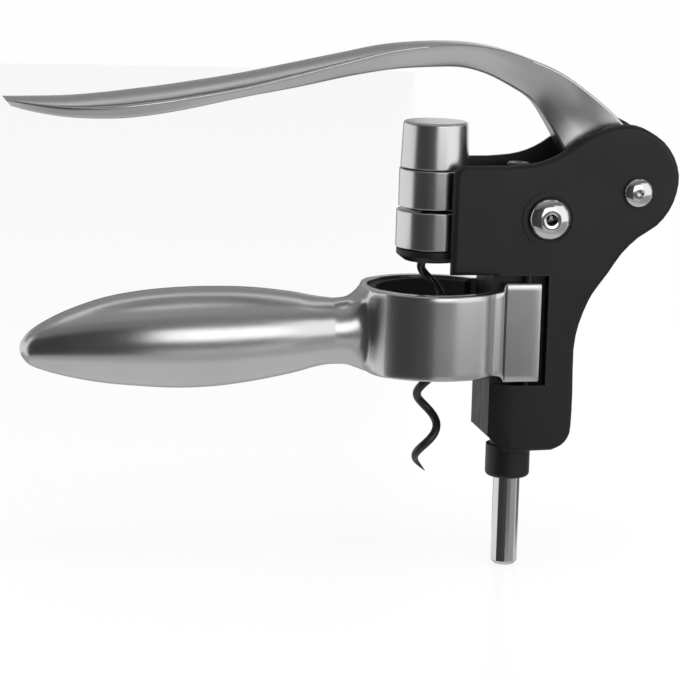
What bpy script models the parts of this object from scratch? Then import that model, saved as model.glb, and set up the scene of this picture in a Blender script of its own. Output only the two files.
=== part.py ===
# Lever corkscrew with two clamping handles, modelled as its separate pieces.
# Metres, +Z up. The origin is on the worm's axis, at mid-height of the clamping ring.
# +X runs from the ring towards the guide rod and the lever's pivot, the handles point along -X.
import math

import bmesh
import bpy
from mathutils import Matrix, Vector

# Gaps and small sizes that many pieces share
GAP = 0.0003
RUN_GAP = 0.0004
HALF_SEAM = 0.00015
OVERRUN = 0.002
MERGE = 0.00001
ROUND_STEPS = 32
SMALL_STEPS = 16
HEX_SIDES = 6
FULL_TURN = 2 * math.pi
QUARTER_TURN = math.pi / 2
SHARP_ANGLE = math.radians(35)

# Body: two moulded halves
BODY_HALF_WIDTH = 0.0145
BODY_LENGTH = 0.0671
BODY_HEIGHT = 0.0963
BODY_FRONT_X = 0.0029
BODY_BOTTOM_Z = -0.0351
BODY_EDGE_ROUND = 0.0016
BODY_EDGE_STEPS = 2
CHEEK_THICKNESS = 0.0028
CHEEK_CORNER_ROUND = 0.0036
CHEEK_CORNER_STEPS = 4
CHEEK_BOTTOM_Z = 0.0173
CHEEK_TOP_Z = 0.0490
BLOCK_FRONT_X = 0.0161
BLOCK_TOE_Z = -0.0309
BLOCK_TOE_X = 0.0210
BLOCK_CHAMFER_LENGTH = 0.0065
FRONT_WALL = 0.0020
FRONT_WALL_TOP_Z = 0.0227
BACK_WALL = 0.0018
BACK_OPENING_Z = 0.0318
WEB_TOP_Z = 0.0052
POCKET_DEPTH = 0.0043
POCKET_WALL = 0.0010
POCKET_BACK_X = 0.0319
POCKET_BOTTOM_Z = -0.0151
LEDGE_TOP_Z = 0.0203
RIVET_RING_RADIUS = 0.0081
RIVET_RING_WIDTH = 0.0011
RIVET_RING_HEIGHT = 0.0004
# Cheek top, lobe and back, as shares of the body's length and height from its front bottom corner
CHEEK_TOP_SHARES = ((0.233, 0.874), (0.337, 0.880), (0.411, 0.893))
LOBE_SHARES = (
    (0.478, 0.916), (0.560, 0.955), (0.672, 0.991), (0.744, 1.000), (0.800, 0.998), (0.857, 0.982),
    (0.927, 0.949), (0.976, 0.903), (1.000, 0.848), (0.993, 0.793), (0.964, 0.741), (0.909, 0.694),
    (0.829, 0.658), (0.756, 0.608), (0.700, 0.550), (0.648, 0.501), (0.616, 0.463), (0.578, 0.392),
    (0.560, 0.314), (0.563, 0.183), (0.561, 0.080), (0.550, 0.043), (0.520, 0.018), (0.475, 0.004),
)
LOBE_CURVE_STEPS = 2

# Guide rod and its sleeve
ROD_X = 0.0251
ROD_RADIUS = 0.0040
SPIGOT_WALL = 0.0011
SLEEVE_WALL = 0.0022
ROD_BOTTOM_Z = -0.0719
ROD_TOP_Z = 0.0452
ROD_CHAMFER = 0.0011
ROD_TAP_RADIUS = 0.0018
ROD_TAP_DEPTH = 0.0090
SLEEVE_BOTTOM_Z = -0.0450
SLEEVE_ROUND = 0.0012
SPIGOT_TOP_Z = -0.0240
ROD_SCREW_HEAD_RADIUS = 0.0034
ROD_SCREW_HEAD_HEIGHT = 0.0019
ROD_SCREW_RADIUS = 0.0015
ROD_SCREW_LENGTH = 0.0080
ROD_SCREW_SOCKET_RADIUS = 0.0013
ROD_SCREW_SOCKET_DEPTH = 0.0012

# Lever, its hub and its two crank arms
PIVOT_X = 0.0575
PIVOT_Z = 0.0417
PIVOT_PIN_RADIUS = 0.0025
LEVER_OPEN_ANGLE = math.radians(110)
CRANK_RADIUS = 0.0340
CRANK_ARM_THICKNESS = 0.0021
CRANK_END_RADIUS = 0.0042
CRANK_ROOT_RADIUS = 0.0046
HUB_RADIUS = 0.0077
LEVER_REACH = 0.1830
LEVER_RISE = 0.0420
LEVER_GRIP_WIDTH = 0.0220
LEVER_CROWN = 0.0034
LEVER_EDGE_INSET = 0.0007
LEVER_ACROSS_SHARES = (1.0, 0.8, 0.45, 0.0, -0.45, -0.8, -1.0)
# Each lever station: top point and bottom point from the pivot as shares of reach and rise,
# then its width as a share of the grip's width, its crown as a share of the grip's crown,
# and the width of its underside as a share of its own width
LEVER_STATION_SHARES = (
    (-1.000, 0.598, -0.985, 0.560, 0.38, 0.25, 0.90),
    (-0.962, 0.600, -0.955, 0.535, 0.62, 0.45, 0.90),
    (-0.902, 0.607, -0.903, 0.486, 0.84, 0.75, 0.90),
    (-0.847, 0.628, -0.841, 0.467, 0.95, 0.95, 0.90),
    (-0.802, 0.652, -0.792, 0.476, 1.00, 1.00, 0.90),
    (-0.733, 0.690, -0.726, 0.519, 1.00, 1.00, 0.88),
    (-0.633, 0.755, -0.628, 0.619, 0.94, 0.95, 0.86),
    (-0.551, 0.829, -0.546, 0.688, 0.86, 0.80, 0.80),
    (-0.471, 0.907, -0.464, 0.763, 0.77, 0.62, 0.70),
    (-0.403, 0.974, -0.391, 0.812, 0.70, 0.42, 0.60),
    (-0.332, 1.000, -0.328, 0.828, 0.65, 0.22, 0.52),
    (-0.276, 1.000, -0.278, 0.826, 0.62, 0.14, 0.46),
    (-0.225, 0.976, -0.235, 0.790, 0.60, 0.10, 0.43),
    (-0.172, 0.910, -0.193, 0.705, 0.59, 0.10, 0.42),
    (-0.117, 0.800, -0.162, 0.602, 0.59, 0.10, 0.45),
    (-0.062, 0.636, -0.140, 0.478, 0.59, 0.10, 0.55),
    (-0.015, 0.455, -0.117, 0.319, 0.59, 0.10, 0.75),
    (0.018, 0.240, -0.096, 0.150, 0.59, 0.10, 0.95),
    (0.030, 0.070, -0.060, -0.030, 0.59, 0.10, 1.00),
)

# Lever pivot pin, washers and the rollers on the crank arms
PIN_HEAD_RADIUS = 0.0044
PIN_HEAD_HEIGHT = 0.0019
PIN_DIMPLE_RADIUS = 0.0008
PIN_DIMPLE_DEPTH = 0.0004
WASHER_RADIUS = 0.0064
WASHER_THICKNESS = 0.0009
ROLLER_RADIUS = 0.0028
ROLLER_BORE_RADIUS = 0.0015
CRANK_PIN_RADIUS = 0.0012

# Steel side plates and the hollow rivets that hold them to the cheeks
SIDE_PLATE_THICKNESS = 0.0010
SIDE_PLATE_FRONT_RADIUS = 0.0080
SIDE_PLATE_REAR_RADIUS = 0.0090
RIVET_X = 0.0312
RIVET_Z = 0.0340
RIVET_DOME_RADIUS = 0.0063
RIVET_DOME_HEIGHT = 0.0028
RIVET_SHANK_RADIUS = 0.0026
RIVET_BORE_RADIUS = 0.0015
RIVET_INNER_HEAD_RADIUS = 0.0038
RIVET_INNER_HEAD_HEIGHT = 0.0008

# Worm: an open right-hand helix of round wire on a straight shank
WORM_PITCH = 0.0191
WORM_WIRE_RADIUS = 0.00125
WORM_OUTER_RADIUS = 0.0043
WORM_TIP_Z = -0.0440
WORM_HELIX_TOP_Z = 0.0350
WORM_SHANK_Z = 0.0409
WORM_SHANK_TOP_Z = 0.0520
WORM_TIP_ANGLE = math.radians(77)
WORM_STEPS_PER_TURN = 24
WORM_POINT_TURNS = 0.45
WORM_POINT_SHARE = 0.12
HUB_BUSH_RADIUS = 0.0054
HUB_BUSH_HEIGHT = 0.0040
WORM_HEAD_RADIUS = 0.0046
WORM_HEAD_HEIGHT = 0.0040
THRUST_WASHER_RADIUS = 0.0056
THRUST_WASHER_HEIGHT = 0.0008

# Carriage: bearing ring, block and yoke plates, with the cap above it
CARRIAGE_RADIUS = 0.0103
CARRIAGE_BOTTOM_Z = 0.0357
CARRIAGE_TOP_Z = 0.0469
CARRIAGE_BORE_RADIUS = 0.0060
CARRIAGE_THROAT_RADIUS = 0.0049
CARRIAGE_SHOULDER_Z = 0.0412
CARRIAGE_REAR_WALL = 0.0032
YOKE_RIM = 0.0018
YOKE_RUN = 0.0060
YOKE_REAR_RIM = 0.0018
YOKE_SLACK = 0.0020
CAP_TOP_RADIUS = 0.0095
CAP_BOTTOM_RADIUS = 0.0100
CAP_HEIGHT = 0.0134
CAP_ROUND = 0.0009
CAP_BORE_RADIUS = 0.0068
CAP_BORE_DEPTH = 0.0085
RING_EDGE = 0.0004

# Lower ring with its bracket, and the nut insert that the worm turns through
NUT_RING_RADIUS = 0.0108
NUT_RING_BOTTOM_Z = 0.0238
NUT_RING_TOP_Z = 0.0348
NUT_RING_BORE_RADIUS = 0.0073
BRACKET_REAR_X = 0.0177
BRACKET_FRONT_X = 0.0115
TONGUE_FRONT_X = 0.0123
TONGUE_REAR_X = 0.0165
TONGUE_BOTTOM_Z = 0.0252
TONGUE_TOP_Z = 0.0322
TONGUE_DEPTH = 0.0012
NUT_COLLAR_RADIUS = 0.0105
NUT_COLLAR_HEIGHT = 0.0016
NUT_NOSE_RADIUS = 0.0082
NUT_BOTTOM_Z = 0.0200
NUT_TOP_Z = 0.0339
TUNNEL_CLEARANCE = 0.0004

# Clamping handles, each with half of the ring, and the ring's liners
RING_RADIUS = 0.0218
RING_WALL = 0.0030
RING_HALF_HEIGHT = 0.0124
RING_ARC_STEPS = 20
RING_EDGE_ROUND = 0.0007
RING_EDGE_STEPS = 2
LINER_WALL = 0.0022
LINER_HALF_HEIGHT = 0.0116
HALF_HANDLE_GAP = 0.00025
HINGE_X = 0.0263
HINGE_INSET = 0.00195
HINGE_PIN_RADIUS = 0.0010
HINGE_CLEARANCE = 0.0002
HINGE_RELIEF = 0.0006
HINGE_PIN_BOTTOM_Z = -0.0189
HINGE_PIN_TOP_Z = 0.0189
PLATE_FRONT_X = 0.0190
NECK_OVERLAP = 0.0010
NECK_STEP = 0.0003
ARC_END_SPARE = 0.0010
PLATE_REAR_X = 0.0300
PLATE_TAIL = 0.0019
PLATE_BOTTOM_Z = -0.0142
PLATE_TOP_Z = 0.0152
PLATE_EDGE_ROUND = 0.0009
PLATE_EDGE_STEPS = 2
HANDLE_ROOT_DEPTH_SHARE = 0.8
HANDLE_LENGTH = 0.1200
HANDLE_HALF_HEIGHT = 0.0144
HANDLE_DEPTH = 0.0140
HANDLE_DROP = 0.0046
HANDLE_SECTION_STEPS = 12
# Each handle station: distance from the ring towards the tip, axis drop, half height and depth,
# as shares of the handle's reach from the ring, drop, half height and depth
HANDLE_STATION_SHARES = (
    (1.000, 1.00, 0.06, 0.05),
    (0.993, 1.00, 0.20, 0.17),
    (0.973, 0.94, 0.38, 0.34),
    (0.934, 0.80, 0.55, 0.50),
    (0.867, 0.66, 0.73, 0.68),
    (0.771, 0.50, 0.87, 0.85),
    (0.672, 0.39, 0.95, 0.95),
    (0.559, 0.35, 1.00, 1.00),
    (0.446, 0.28, 0.98, 1.00),
    (0.333, 0.14, 0.91, 0.93),
    (0.219, 0.02, 0.76, 0.78),
    (0.148, -0.04, 0.65, 0.66),
    (0.100, -0.06, 0.63, 0.60),
    (0.068, -0.04, 0.67, 0.58),
    (0.042, -0.01, 0.77, 0.60),
    (0.024, 0.00, 0.84, 0.63),
    (0.000, 0.00, 0.85, 0.63),
)

# Plain colours: base colour, roughness, metallic
COLOURS = {
    "satin_zinc": ((0.55, 0.55, 0.56, 1.0), 0.32, 1.0),
    "polished_steel": ((0.72, 0.72, 0.73, 1.0), 0.16, 1.0),
    "black_moulding": ((0.012, 0.012, 0.013, 1.0), 0.45, 0.0),
    "black_liner": ((0.015, 0.015, 0.015, 1.0), 0.70, 0.0),
    "black_worm": ((0.020, 0.020, 0.021, 1.0), 0.28, 0.6),
    "plain_steel": ((0.45, 0.45, 0.46, 1.0), 0.38, 1.0),
    "natural_nylon": ((0.75, 0.74, 0.70, 1.0), 0.50, 0.0),
}

# Sizes that follow from the ones above
CRANK_REST = math.pi + LEVER_OPEN_ANGLE / 2
CARRIAGE_TRAVEL = 2 * CRANK_RADIUS * math.sin(LEVER_OPEN_ANGLE / 2)
CRANK_X = PIVOT_X + CRANK_RADIUS * math.cos(CRANK_REST)
CRANK_Z = PIVOT_Z + CRANK_RADIUS * math.sin(CRANK_REST)
WORM_TURNS = CARRIAGE_TRAVEL / WORM_PITCH
WORM_COIL_RADIUS = WORM_OUTER_RADIUS - WORM_WIRE_RADIUS
CHEEK_INNER_Y = BODY_HALF_WIDTH - CHEEK_THICKNESS
SIDE_PLATE_INNER_Y = CHEEK_INNER_Y - GAP - SIDE_PLATE_THICKNESS
CRANK_OUTER_Y = SIDE_PLATE_INNER_Y - 2 * GAP - WASHER_THICKNESS
CRANK_INNER_Y = CRANK_OUTER_Y - CRANK_ARM_THICKNESS
CARRIAGE_HALF_WIDTH = CRANK_INNER_Y - RUN_GAP
YOKE_INNER_Y = ROD_RADIUS + GAP
CARRIAGE_REAR_X = ROD_X + ROD_RADIUS + CARRIAGE_REAR_WALL
BRACKET_HALF_WIDTH = CHEEK_INNER_Y - GAP
POCKET_FLOOR_Y = BODY_HALF_WIDTH - POCKET_DEPTH
CHANNEL_HALF_WIDTH = POCKET_FLOOR_Y - POCKET_WALL
BLOCK_FRONT_HALF_WIDTH = POCKET_FLOOR_Y + RUN_GAP
PLATE_INNER_Y = POCKET_FLOOR_Y + RUN_GAP
HINGE_Y = BODY_HALF_WIDTH - HINGE_INSET
RING_INNER_RADIUS = RING_RADIUS - RING_WALL
LINER_OUTER_RADIUS = RING_INNER_RADIUS - GAP
LINER_INNER_RADIUS = LINER_OUTER_RADIUS - LINER_WALL
ARC_END_Y = PLATE_INNER_Y + ARC_END_SPARE
RING_ARC_END = -math.asin(ARC_END_Y / RING_INNER_RADIUS)
LINER_ARC_END = -math.asin(ARC_END_Y / LINER_OUTER_RADIUS)
HANDLE_ROOT_X = -(RING_RADIUS - HANDLE_ROOT_DEPTH_SHARE * RING_WALL)
ROD_BORE_RADIUS = ROD_RADIUS + RUN_GAP
SPIGOT_RADIUS = ROD_BORE_RADIUS + SPIGOT_WALL
SLEEVE_RADIUS = ROD_BORE_RADIUS + SLEEVE_WALL
CAP_BOTTOM_Z = CARRIAGE_TOP_Z + GAP

for old in list(bpy.data.objects):
    bpy.data.objects.remove(old)

parts = bpy.data.collections.new("lever_corkscrew")
cutters = bpy.data.collections.new("cutters")
bpy.context.scene.collection.children.link(parts)
bpy.context.scene.collection.children.link(cutters)


def make_materials():
    """One Principled material for each finish."""
    made = {}
    for name, (colour, roughness, metallic) in COLOURS.items():
        material = bpy.data.materials.new(name)
        material.use_nodes = True
        shader = material.node_tree.nodes["Principled BSDF"]
        shader.inputs["Base Color"].default_value = colour
        shader.inputs["Roughness"].default_value = roughness
        shader.inputs["Metallic"].default_value = metallic
        material.diffuse_color = colour
        made[name] = material
    return made


MATERIALS = make_materials()


def new_object(name, mesh, finish=None):
    """Link a mesh as a part, or as a cutter when it has no finish."""
    obj = bpy.data.objects.new(name, mesh)
    if finish:
        parts.objects.link(obj)
        mesh.materials.append(MATERIALS[finish])
        mesh.shade_smooth()
        mesh.set_sharp_from_angle(angle=SHARP_ANGLE)
    else:
        cutters.objects.link(obj)
        obj.hide_render = True
        obj.display_type = "WIRE"
    return obj


def cut(target, cutter):
    boolean = target.modifiers.new("cut", "BOOLEAN")
    boolean.operation = "DIFFERENCE"
    boolean.solver = "EXACT"
    boolean.object = cutter


def join(target, other):
    boolean = target.modifiers.new("join", "BOOLEAN")
    boolean.operation = "UNION"
    boolean.solver = "EXACT"
    boolean.object = other


def mesh_of_curve(obj):
    """Turn a curve object into a welded mesh in world space and remove the curve."""
    bpy.context.view_layer.update()
    evaluated = obj.evaluated_get(bpy.context.evaluated_depsgraph_get())
    mesh = bpy.data.meshes.new_from_object(evaluated)
    mesh.transform(obj.matrix_world)
    bm = bmesh.new()
    bm.from_mesh(mesh)
    bmesh.ops.remove_doubles(bm, verts=bm.verts, dist=MERGE)
    bmesh.ops.recalc_face_normals(bm, faces=bm.faces)
    bm.to_mesh(mesh)
    bm.free()
    bpy.data.objects.remove(obj)
    return mesh


def plate_mesh(name, outline, low, high, plane="XZ"):
    """A flat outline given thickness: side outlines run in X and Z, plan outlines in X and Y."""
    curve = bpy.data.curves.new(name, "CURVE")
    curve.dimensions = "2D"
    curve.fill_mode = "BOTH"
    curve.extrude = (high - low) / 2
    spline = curve.splines.new("POLY")
    spline.points.add(len(outline) - 1)
    for point, (a, b) in zip(spline.points, outline):
        point.co = (a, b, 0, 1)
    spline.use_cyclic_u = True
    obj = bpy.data.objects.new(name, curve)
    parts.objects.link(obj)
    middle = (low + high) / 2
    if plane == "XZ":
        obj.matrix_world = Matrix.Translation((0, middle, 0)) @ Matrix.Rotation(QUARTER_TURN, 4, "X")
    else:
        obj.matrix_world = Matrix.Translation((0, 0, middle))
    return mesh_of_curve(obj)


def side_plate(name, outline, low, high, finish=None):
    return new_object(name, plate_mesh(name, outline, low, high), finish)


def plan_plate(name, outline, low, high, finish=None):
    return new_object(name, plate_mesh(name, outline, low, high, "XY"), finish)


def round_edges(mesh, chosen, radius, steps):
    """Round the edges for which chosen(edge) is true."""
    bm = bmesh.new()
    bm.from_mesh(mesh)
    edges = [edge for edge in bm.edges if chosen(edge)]
    bmesh.ops.bevel(bm, geom=edges, offset=radius, segments=steps, profile=0.5, affect="EDGES")
    bm.to_mesh(mesh)
    bm.free()


def turned(name, profile, steps=ROUND_STEPS, finish=None, closed=False, place=None):
    """A turned piece: profile points (radius, height) down the outer side, spun about Z."""
    mesh = bpy.data.meshes.new(name)
    verts = [(radius, 0, height) for radius, height in profile]
    edges = [(i, i + 1) for i in range(len(verts) - 1)]
    if closed:
        edges.append((len(verts) - 1, 0))
    mesh.from_pydata(verts, edges, [])
    obj = bpy.data.objects.new(name, mesh)
    parts.objects.link(obj)
    screw = obj.modifiers.new("turn", "SCREW")
    screw.axis = "Z"
    screw.angle = FULL_TURN
    screw.steps = steps
    screw.render_steps = steps
    screw.use_merge_vertices = True
    screw.merge_threshold = MERGE
    bpy.context.view_layer.update()
    evaluated = obj.evaluated_get(bpy.context.evaluated_depsgraph_get())
    solid = bpy.data.meshes.new_from_object(evaluated)
    bpy.data.objects.remove(obj)
    if place:
        solid.transform(place)
    return new_object(name, solid, finish)


def along_y(x, z, side):
    """Place a turned piece with its axis along Y, its top pointing outwards on one side."""
    turn = Matrix.Rotation(-side * QUARTER_TURN, 4, "X")
    return Matrix.Translation((x, 0, z)) @ turn


def upright(x, y):
    return Matrix.Translation((x, y, 0))


def rod_profile(radius, low, high):
    return [(0, high), (radius, high), (radius, low), (0, low)]


def ring_profile(inner, outer, low, high):
    return [(inner, high), (outer, high), (outer, low), (inner, low)]


def smooth_curve(points, steps):
    """Points on a smooth curve through the given ones, with steps added spans between each pair."""
    result = []
    last = len(points) - 1
    for i in range(last):
        before, here, there = points[max(i - 1, 0)], points[i], points[i + 1]
        after = points[min(i + 2, last)]
        for step in range(steps):
            t = step / steps
            result.append(tuple(blend_four(a, b, c, d, t) for a, b, c, d in zip(before, here, there, after)))
    result.append(points[last])
    return result


def blend_four(a, b, c, d, t):
    """The Catmull-Rom blend of four values, from b at t = 0 to c at t = 1."""
    straight = b + (c - b) * t
    bend_in = (c - a) / 2 - (c - b)
    bend_out = (d - b) / 2 - (c - b)
    return straight + t * (1 - t) * ((1 - t) * bend_in - t * bend_out)


def arc(centre_x, centre_z, radius, start, end, steps):
    points = []
    for i in range(steps + 1):
        angle = start + (end - start) * i / steps
        points.append((centre_x + radius * math.cos(angle), centre_z + radius * math.sin(angle)))
    return points


def slot_outline(x0, z0, r0, x1, z1, r1, steps=SMALL_STEPS):
    """The outline of two circles and the tangents that join them."""
    along = math.atan2(z1 - z0, x1 - x0)
    distance = math.hypot(x1 - x0, z1 - z0)
    lean = math.acos((r0 - r1) / distance)
    half = steps // 2
    first = arc(x0, z0, r0, along + lean, along + FULL_TURN - lean, half)
    second = arc(x1, z1, r1, along - lean, along + lean, half)
    return first + second


def inset(points, distance):
    """Shift an open run of clockwise outline points towards the inside of the outline."""
    result = []
    last = len(points) - 1
    for i, point in enumerate(points):
        before, after = points[max(i - 1, 0)], points[min(i + 1, last)]
        run_x, run_z = after[0] - before[0], after[1] - before[1]
        length = math.hypot(run_x, run_z)
        result.append((point[0] + run_z / length * distance, point[1] - run_x / length * distance))
    return result


def body_outline():
    """Side outline of a body half, from the cheek's front bottom corner upwards and round."""
    def place(shares):
        return [(BODY_FRONT_X + a * BODY_LENGTH, BODY_BOTTOM_Z + b * BODY_HEIGHT) for a, b in shares]
    corner = arc(BODY_FRONT_X + CHEEK_CORNER_ROUND, CHEEK_TOP_Z - CHEEK_CORNER_ROUND,
                 CHEEK_CORNER_ROUND, math.pi, QUARTER_TURN, CHEEK_CORNER_STEPS)
    sweep = smooth_curve(place(CHEEK_TOP_SHARES + LOBE_SHARES), LOBE_CURVE_STEPS)
    front = [(BLOCK_TOE_X, BODY_BOTTOM_Z), (BLOCK_FRONT_X, BLOCK_TOE_Z), (BLOCK_FRONT_X, CHEEK_BOTTOM_Z)]
    return [(BODY_FRONT_X, CHEEK_BOTTOM_Z)] + corner + sweep + front, sweep


def mechanism_space(sweep):
    """Outline of the wide space between the cheeks, open at the front, top and upper back."""
    back = [p for p in sweep if LEDGE_TOP_Z < p[1] < BACK_OPENING_Z and p[0] > POCKET_BACK_X]
    wall = inset(back, BACK_WALL)
    wall.reverse()
    far_x = BODY_FRONT_X + BODY_LENGTH + OVERRUN
    far_z = BODY_BOTTOM_Z + BODY_HEIGHT + OVERRUN
    near_x = BODY_FRONT_X - OVERRUN
    low_z = CHEEK_BOTTOM_Z - OVERRUN
    wall_rear = BLOCK_FRONT_X + FRONT_WALL
    return ([(near_x, low_z), (BLOCK_FRONT_X, low_z), (BLOCK_FRONT_X, FRONT_WALL_TOP_Z),
             (wall_rear, FRONT_WALL_TOP_Z), (wall_rear, LEDGE_TOP_Z), (wall[0][0], LEDGE_TOP_Z)] + wall
            + [(far_x, wall[-1][1]), (far_x, far_z), (near_x, far_z)])


def channel_space(sweep):
    """Outline of the narrow space below, where the yoke and the crank arms reach down."""
    back = [p for p in sweep if WEB_TOP_Z + BACK_WALL < p[1] < LEDGE_TOP_Z + OVERRUN and p[0] > POCKET_BACK_X]
    wall = inset(back, BACK_WALL)
    wall.reverse()
    front_x = BLOCK_FRONT_X + FRONT_WALL + RING_EDGE / 2
    top_z = LEDGE_TOP_Z + OVERRUN
    return [(front_x, WEB_TOP_Z), (wall[0][0], WEB_TOP_Z)] + wall + [(wall[-1][0], top_z), (front_x, top_z)]


def span(side, inner, outer):
    """The lower and upper Y of a slab that lies between two distances on one side."""
    return (inner, outer) if side > 0 else (-outer, -inner)


def body_half(name, side):
    """One moulded half: cheek, lobe, block, and half of the web that guides the rod."""
    outline, sweep = body_outline()
    low, high = span(side, HALF_SEAM, BODY_HALF_WIDTH)
    mesh = plate_mesh(name, outline, low, high)
    face_y = side * BODY_HALF_WIDTH

    def on_side_face(edge):
        return all(abs(vert.co.y - face_y) < MERGE for vert in edge.verts) and not edge.is_boundary \
            and len({round(face.normal.y) for face in edge.link_faces}) > 1
    round_edges(mesh, on_side_face, BODY_EDGE_ROUND, BODY_EDGE_STEPS)
    half = new_object(name, mesh, "black_moulding")

    ring_low, ring_high = span(side, BODY_HALF_WIDTH - BODY_EDGE_ROUND, BODY_HALF_WIDTH + RIVET_RING_HEIGHT)
    join(half, side_plate("boss_" + name, arc(RIVET_X, RIVET_Z, RIVET_RING_RADIUS, 0, FULL_TURN,
                                              SMALL_STEPS)[:-1], ring_low, ring_high))
    seat_low, seat_high = span(side, BODY_HALF_WIDTH, BODY_HALF_WIDTH + OVERRUN)
    cut(half, side_plate("boss_cut_" + name, arc(RIVET_X, RIVET_Z, RIVET_RING_RADIUS - RIVET_RING_WIDTH, 0,
                                                 FULL_TURN, SMALL_STEPS)[:-1], seat_low, seat_high))

    space_low, space_high = span(side, -OVERRUN, CHEEK_INNER_Y)
    cut(half, side_plate("space_" + name, mechanism_space(sweep), space_low, space_high))
    channel_low, channel_high = span(side, -OVERRUN, CHANNEL_HALF_WIDTH)
    cut(half, side_plate("channel_" + name, channel_space(sweep), channel_low, channel_high))
    pocket = [(BLOCK_FRONT_X - OVERRUN, POCKET_BOTTOM_Z), (POCKET_BACK_X, POCKET_BOTTOM_Z),
              (POCKET_BACK_X, CHEEK_BOTTOM_Z), (BLOCK_FRONT_X - OVERRUN, CHEEK_BOTTOM_Z)]
    pocket_low, pocket_high = span(side, POCKET_FLOOR_Y, BODY_HALF_WIDTH + OVERRUN)
    cut(half, side_plate("pocket_" + name, pocket, pocket_low, pocket_high))

    groove = [(TONGUE_FRONT_X - GAP, TONGUE_BOTTOM_Z - GAP), (TONGUE_REAR_X + GAP, TONGUE_BOTTOM_Z - GAP),
              (TONGUE_REAR_X + GAP, TONGUE_TOP_Z + GAP), (TONGUE_FRONT_X - GAP, TONGUE_TOP_Z + GAP)]
    groove_low, groove_high = span(side, CHEEK_INNER_Y - OVERRUN, CHEEK_INNER_Y + TONGUE_DEPTH + GAP)
    cut(half, side_plate("groove_" + name, groove, groove_low, groove_high))

    slope = (BODY_HALF_WIDTH - BLOCK_FRONT_HALF_WIDTH) / BLOCK_CHAMFER_LENGTH
    outer_y = side * (BODY_HALF_WIDTH + OVERRUN * slope)
    corner = [(BLOCK_FRONT_X - OVERRUN, side * (BLOCK_FRONT_HALF_WIDTH - OVERRUN * slope)),
              (BLOCK_FRONT_X + BLOCK_CHAMFER_LENGTH + OVERRUN, outer_y), (BLOCK_FRONT_X - OVERRUN, outer_y)]
    cut(half, plan_plate("corner_" + name, corner, BODY_BOTTOM_Z - OVERRUN, POCKET_BOTTOM_Z + OVERRUN))

    cut(half, turned("hinge_bore_" + name, rod_profile(HINGE_PIN_RADIUS + HINGE_CLEARANCE,
                                                       HINGE_PIN_BOTTOM_Z - GAP, HINGE_PIN_TOP_Z + GAP),
                     SMALL_STEPS, place=upright(HINGE_X, side * HINGE_Y)))
    seat_radius, seat_top = SPIGOT_RADIUS + GAP, SPIGOT_TOP_Z + GAP
    bore_low, bore_high = BODY_BOTTOM_Z - OVERRUN, WEB_TOP_Z + OVERRUN
    stepped = [(0, bore_high), (ROD_BORE_RADIUS, bore_high), (ROD_BORE_RADIUS, seat_top),
               (seat_radius, seat_top), (seat_radius, bore_low), (0, bore_low)]
    cut(half, turned("rod_bore_" + name, stepped, place=upright(ROD_X, 0)))
    for label, x, z, radius in (("pin", PIVOT_X, PIVOT_Z, PIVOT_PIN_RADIUS + GAP),
                                ("rivet", RIVET_X, RIVET_Z, RIVET_SHANK_RADIUS + GAP)):
        cut(half, turned(label + "_bore_" + name, rod_profile(radius, 0, BODY_HALF_WIDTH + OVERRUN),
                         SMALL_STEPS, place=along_y(x, z, side)))
    return half


def side_plate_piece(name, side):
    outline = slot_outline(RIVET_X, RIVET_Z, SIDE_PLATE_FRONT_RADIUS, PIVOT_X, PIVOT_Z, SIDE_PLATE_REAR_RADIUS)
    low, high = span(side, SIDE_PLATE_INNER_Y, SIDE_PLATE_INNER_Y + SIDE_PLATE_THICKNESS)
    plate = side_plate(name, outline, low, high, "plain_steel")
    for label, x, z, radius in (("pin", PIVOT_X, PIVOT_Z, PIVOT_PIN_RADIUS + GAP),
                                ("rivet", RIVET_X, RIVET_Z, RIVET_SHANK_RADIUS + GAP)):
        cut(plate, turned(label + "_hole_" + name, rod_profile(radius, 0, BODY_HALF_WIDTH), SMALL_STEPS,
                          place=along_y(x, z, side)))
    return plate


def dome(radius, base, height, inner, steps):
    """Points of a domed head from its top to its rim, over a hole or dimple of the inner radius."""
    points = []
    for i in range(steps + 1):
        angle = QUARTER_TURN * i / steps
        r = inner + (radius - inner) * math.sin(angle)
        points.append((r, base + height * math.cos(angle)))
    return points


def cover_rivet(name, side):
    """A hollow rivet: polished dome outside, shank through cheek and plate, flared head inside."""
    base = BODY_HALF_WIDTH + GAP
    inside = SIDE_PLATE_INNER_Y - GAP
    profile = dome(RIVET_DOME_RADIUS, base, RIVET_DOME_HEIGHT, RIVET_BORE_RADIUS, 5)
    profile += [(RIVET_SHANK_RADIUS, base), (RIVET_SHANK_RADIUS, inside), (RIVET_INNER_HEAD_RADIUS, inside),
                (RIVET_INNER_HEAD_RADIUS, inside - RIVET_INNER_HEAD_HEIGHT),
                (RIVET_BORE_RADIUS, inside - RIVET_INNER_HEAD_HEIGHT)]
    return turned(name, profile, ROUND_STEPS, "polished_steel", True, along_y(RIVET_X, RIVET_Z, side))


def lever_pin():
    """The pivot pin, with a domed and dimpled head on each side of the body."""
    base = BODY_HALF_WIDTH + GAP
    top = dome(PIN_HEAD_RADIUS, base, PIN_HEAD_HEIGHT, PIN_DIMPLE_RADIUS, 4)
    dimple = [(0, base + PIN_HEAD_HEIGHT - PIN_DIMPLE_DEPTH)]
    upper = dimple + top + [(PIVOT_PIN_RADIUS, base)]
    lower = [(radius, -height) for radius, height in reversed(upper)]
    return turned("lever_pin", upper + lower, SMALL_STEPS, "polished_steel", False,
                  along_y(PIVOT_X, PIVOT_Z, 1))


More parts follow.
